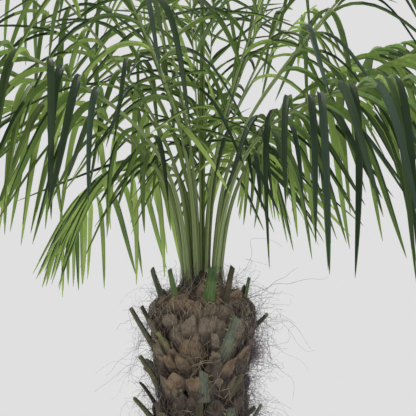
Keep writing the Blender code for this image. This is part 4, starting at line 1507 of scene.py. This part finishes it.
# %% Places that stay open
# Left, top, right and bottom in the photograph, and the share of leaflets that is missing there
OPEN_PLACES = (
    (240, 60, 302, 116, 0.85),
    (168, 135, 240, 205, 0.50),
    (215, 180, 245, 285, 0.60),
    (330, 0, 372, 60, 0.60),
    (80, 75, 150, 150, 0.35),
    (60, 215, 170, 280, 0.25),
)
CROSSES_FROM = 0.25


def on_picture(points):
    """The columns and rows of the photograph at which points are seen."""
    to_right = np.array((math.cos(camera_turn), -math.sin(camera_turn), 0))
    level = np.array((math.sin(camera_turn), math.cos(camera_turn), 0))
    ahead = level * math.cos(camera_tilt) + UP * math.sin(camera_tilt)
    ways = points - np.array(camera.location)
    depth = ways @ ahead / FOCAL_PX
    return FRAME_PX / 2 + ways @ to_right / depth, FRAME_PX / 2 - ways @ np.cross(to_right, ahead) / depth


def left_open(lines, rng):
    """The lines, without many of those that would close an open place of the photograph."""
    column, row = on_picture(lines.points[:, 3:-2])
    kept = np.ones(len(column), bool)
    for left, top, right, bottom, missing in OPEN_PLACES:
        inside = ((column > left) & (column < right) & (row > top) & (row < bottom)).mean(1)
        kept &= (inside < CROSSES_FROM) | (rng.random(len(kept)) > missing)
    return Lines(*(part[kept] for part in lines))


print(len(OPEN_PLACES), "places of the photograph stay open")

# %% [markdown]
# With the lines ready, each frond's leaflets are one joined mesh. A leaflet that would reach out of the CAD
# palm's box is made a little shorter first.

# %% All leaflets
SHORTEST, NO_REACH = 0.3, 0.0001


def within_box(lines):
    """The lines, with those made shorter that would reach out of the CAD palm's box."""
    low, high = np.array(CAD_BOX)
    root = lines.points[:, :1]
    reach = lines.points - root
    room = np.where(reach > 0, high - root, low - root)
    moved = np.abs(reach) > NO_REACH
    share = np.where(moved, room / np.where(moved, reach, 1), 1).min((1, 2))
    return lines._replace(points=root + reach * np.clip(share, SHORTEST, 1)[:, None, None])


def leaflets_of(frond):
    """One frond's leaflets, in tones that are dealt out to them."""
    rng = np.random.default_rng(200 + frond.number)
    lines = leaflet_lines(frond, rng)
    if frond.number != NEAR_RIGHT:
        lines = left_open(lines, np.random.default_rng(300 + frond.number))
    lines = within_box(lines)
    dealt = TONE_SHARES[SHOWN_AS.get(frond.number, frond.whorl)]
    tones = rng.choice(len(LEAF_TONES), len(lines.points), p=dealt)
    piece = joined(f"{frond.name}_leaflets", leaflet, along_lines(leaflet, lines), leaf_finishes, tones, 50)
    belongs(piece, "leaf", f"{frond.name}_blade")


for frond in fronds:
    leaflets_of(frond)

# %% [markdown]
# In front of the stalks one fresh leaflet runs slantwise down to the right. It stands out in the
# photograph, so it gets a line of its own, from a frond's rib to a given point, with a
# slight bow.

# %% One bright leaflet across the stalks
CROSSING_FROND, CROSSING_ALONG = 15, 0.40
CROSSING_END, CROSSING_BOW, CROSSING_WIDTH = (0.072, -0.130, 1.690), 0.018, 0.0070
CROSSING_FACES = (0.3, 1.0, 0.2)
root = fronds[CROSSING_FROND - 1].at(np.array([CROSSING_ALONG]))[0]
shares = LINE_SHARES[:, None]
points = root + (np.array(CROSSING_END) - root) * shares + UP * CROSSING_BOW * 4 * shares * (1 - shares)
heading = unit(np.gradient(points, axis=0))
across = unit(np.cross(heading, CROSSING_FACES))
girth = np.full((1, HANG_STEPS + 1), CROSSING_WIDTH)
crossing_line = Lines(points[None], across[None], np.cross(across, heading)[None], girth, girth)
crossing = joined("crossing_leaflet", leaflet, along_lines(leaflet, crossing_line), leaf_finishes, FRESH, 50)
belongs(crossing, "leaf", fronds[CROSSING_FROND - 1].name + "_blade")

# %% [markdown]
# ## Stalks and ribs
# A stalk and its rib are one piece on the living leaf. The grooved bar is drawn out once more, with more
# rings, and follows the rib's own line, width and thickness. Its foot goes down into the fibre of the
# trunk's top.

# %% The rib
RIB_RINGS = 61
grooved_bar([(share, 1, 1) for share in np.linspace(0, 1, RIB_RINGS)])
rib_bar = take_master()
round_it = np.arctan2(rib_bar.points[:, 0], -rib_bar.points[:, 2]) / (2 * math.pi) + 0.5
rib_uv = np.stack([round_it, rib_bar.points[:, 1]], -1)
print("a rib has", len(rib_bar.starts), "faces")

# %% [markdown]
# A stalk is smooth and green, with pale ridges along it, a whitish bloom, and a brown foot where it leaves
# the fibre. All of these follow the stalk, so they read its own UV map, which goes round it and along it.

# %% Stalk finish
STALK_DARK, STALK_LIGHT = rgb(0.125, 0.185, 0.052), rgb(0.350, 0.420, 0.180)
BLOOM, BROWN_FOOT = rgb(0.50, 0.55, 0.42), rgb(0.085, 0.080, 0.040)
stalk_green = Finish("stalk_green", {"Specular IOR Level": 0.4})
shares = stalk_green.place("UV")
ridges = stalk_green.noise(stalk_green.stretched(shares, (16, 1.1, 1)), 1.0, 4)
scurf = stalk_green.noise(stalk_green.stretched(shares, (6, 9, 1)), 1.0, 4)
along = stalk_green.node("ShaderNodeSeparateXYZ", {}, {"Vector": shares}, 1)
skin = stalk_green.mix(ridges.over(0.36, 0.66), STALK_DARK, STALK_LIGHT)
skin = stalk_green.mix((ridges * 0.8 + scurf * 0.5).over(0.72, 0.92) * 0.75, skin, BLOOM)
skin = stalk_green.mix((1 - along.over(0.030, 0.065)) * 0.6, skin, BROWN_FOOT)
stalk_green.feed("Base Color", skin)
stalk_green.feed("Roughness", scurf * 0.3 + 0.32)
stalk_green.bump(ridges, 0.0012, 0.5)
print("stalk finish ready")

# %% All stalks and ribs
FOOT_DEPTH, STALK_SLIMMER = 0.055, 0.82


def rib_lines(frond):
    """A frond's stalk and rib, as one line."""
    along = np.linspace(-FOOT_DEPTH, frond.length, RIB_STEPS + 1)
    point, tangent, side, normal = frond.at(along)
    point = point + tangent * np.minimum(along, 0)[:, None]
    wide, thick = frond.section(np.maximum(along, 0))
    half_wide, half_thick = wide[None] / 2 * STALK_SLIMMER, thick[None] / 2
    return Lines(point[None], -side[None], normal[None], half_wide, half_thick)


for frond in fronds:
    placed = along_lines(rib_bar, rib_lines(frond))
    piece = joined(f"{frond.name}_rib", rib_bar, placed, [stalk_green], sharp=50, uv=rib_uv)
    belongs(piece, "stalk", f"{frond.name}_stalk")

# %% [markdown]
# ## The spear
# The youngest leaf is still folded up into a spear. The grooved bar follows a straight line, and swells and
# tapers as the CAD spear does.

# %% The spear
SPEAR_HEIGHT = 0.95
SPEAR_SHARES, SPEAR_RADII = (0.0, 0.35, 0.75, 1.0), (0.0055, 0.0082, 0.0060, 0.0014)
shares = np.linspace(0, 1, RIB_STEPS + 1)
axis = np.stack([0 * shares, 0 * shares, TRUNK_TOP + GAP + SPEAR_HEIGHT * shares], -1)[None]
girth = np.interp(shares, SPEAR_SHARES, SPEAR_RADII)[None]
to_right, to_camera = (np.tile(way, (1, len(shares), 1)) for way in ((1.0, 0, 0), (0, -1.0, 0)))
placed = along_lines(rib_bar, Lines(axis, to_right, to_camera, girth, girth))
spear_finish = leaf_finishes[FRESH * len(SIDES) + UPPER]
spear = joined("spear_leaf", rib_bar, placed, [spear_finish], sharp=50, uv=rib_uv)
belongs(spear, "leaf", "spear")

# %% [markdown]
# ## Size
# The living palm must stay within the box of the CAD palm, which is printed once more.

bpy.context.view_layer.update()
print("CAD box", CAD_BOX)
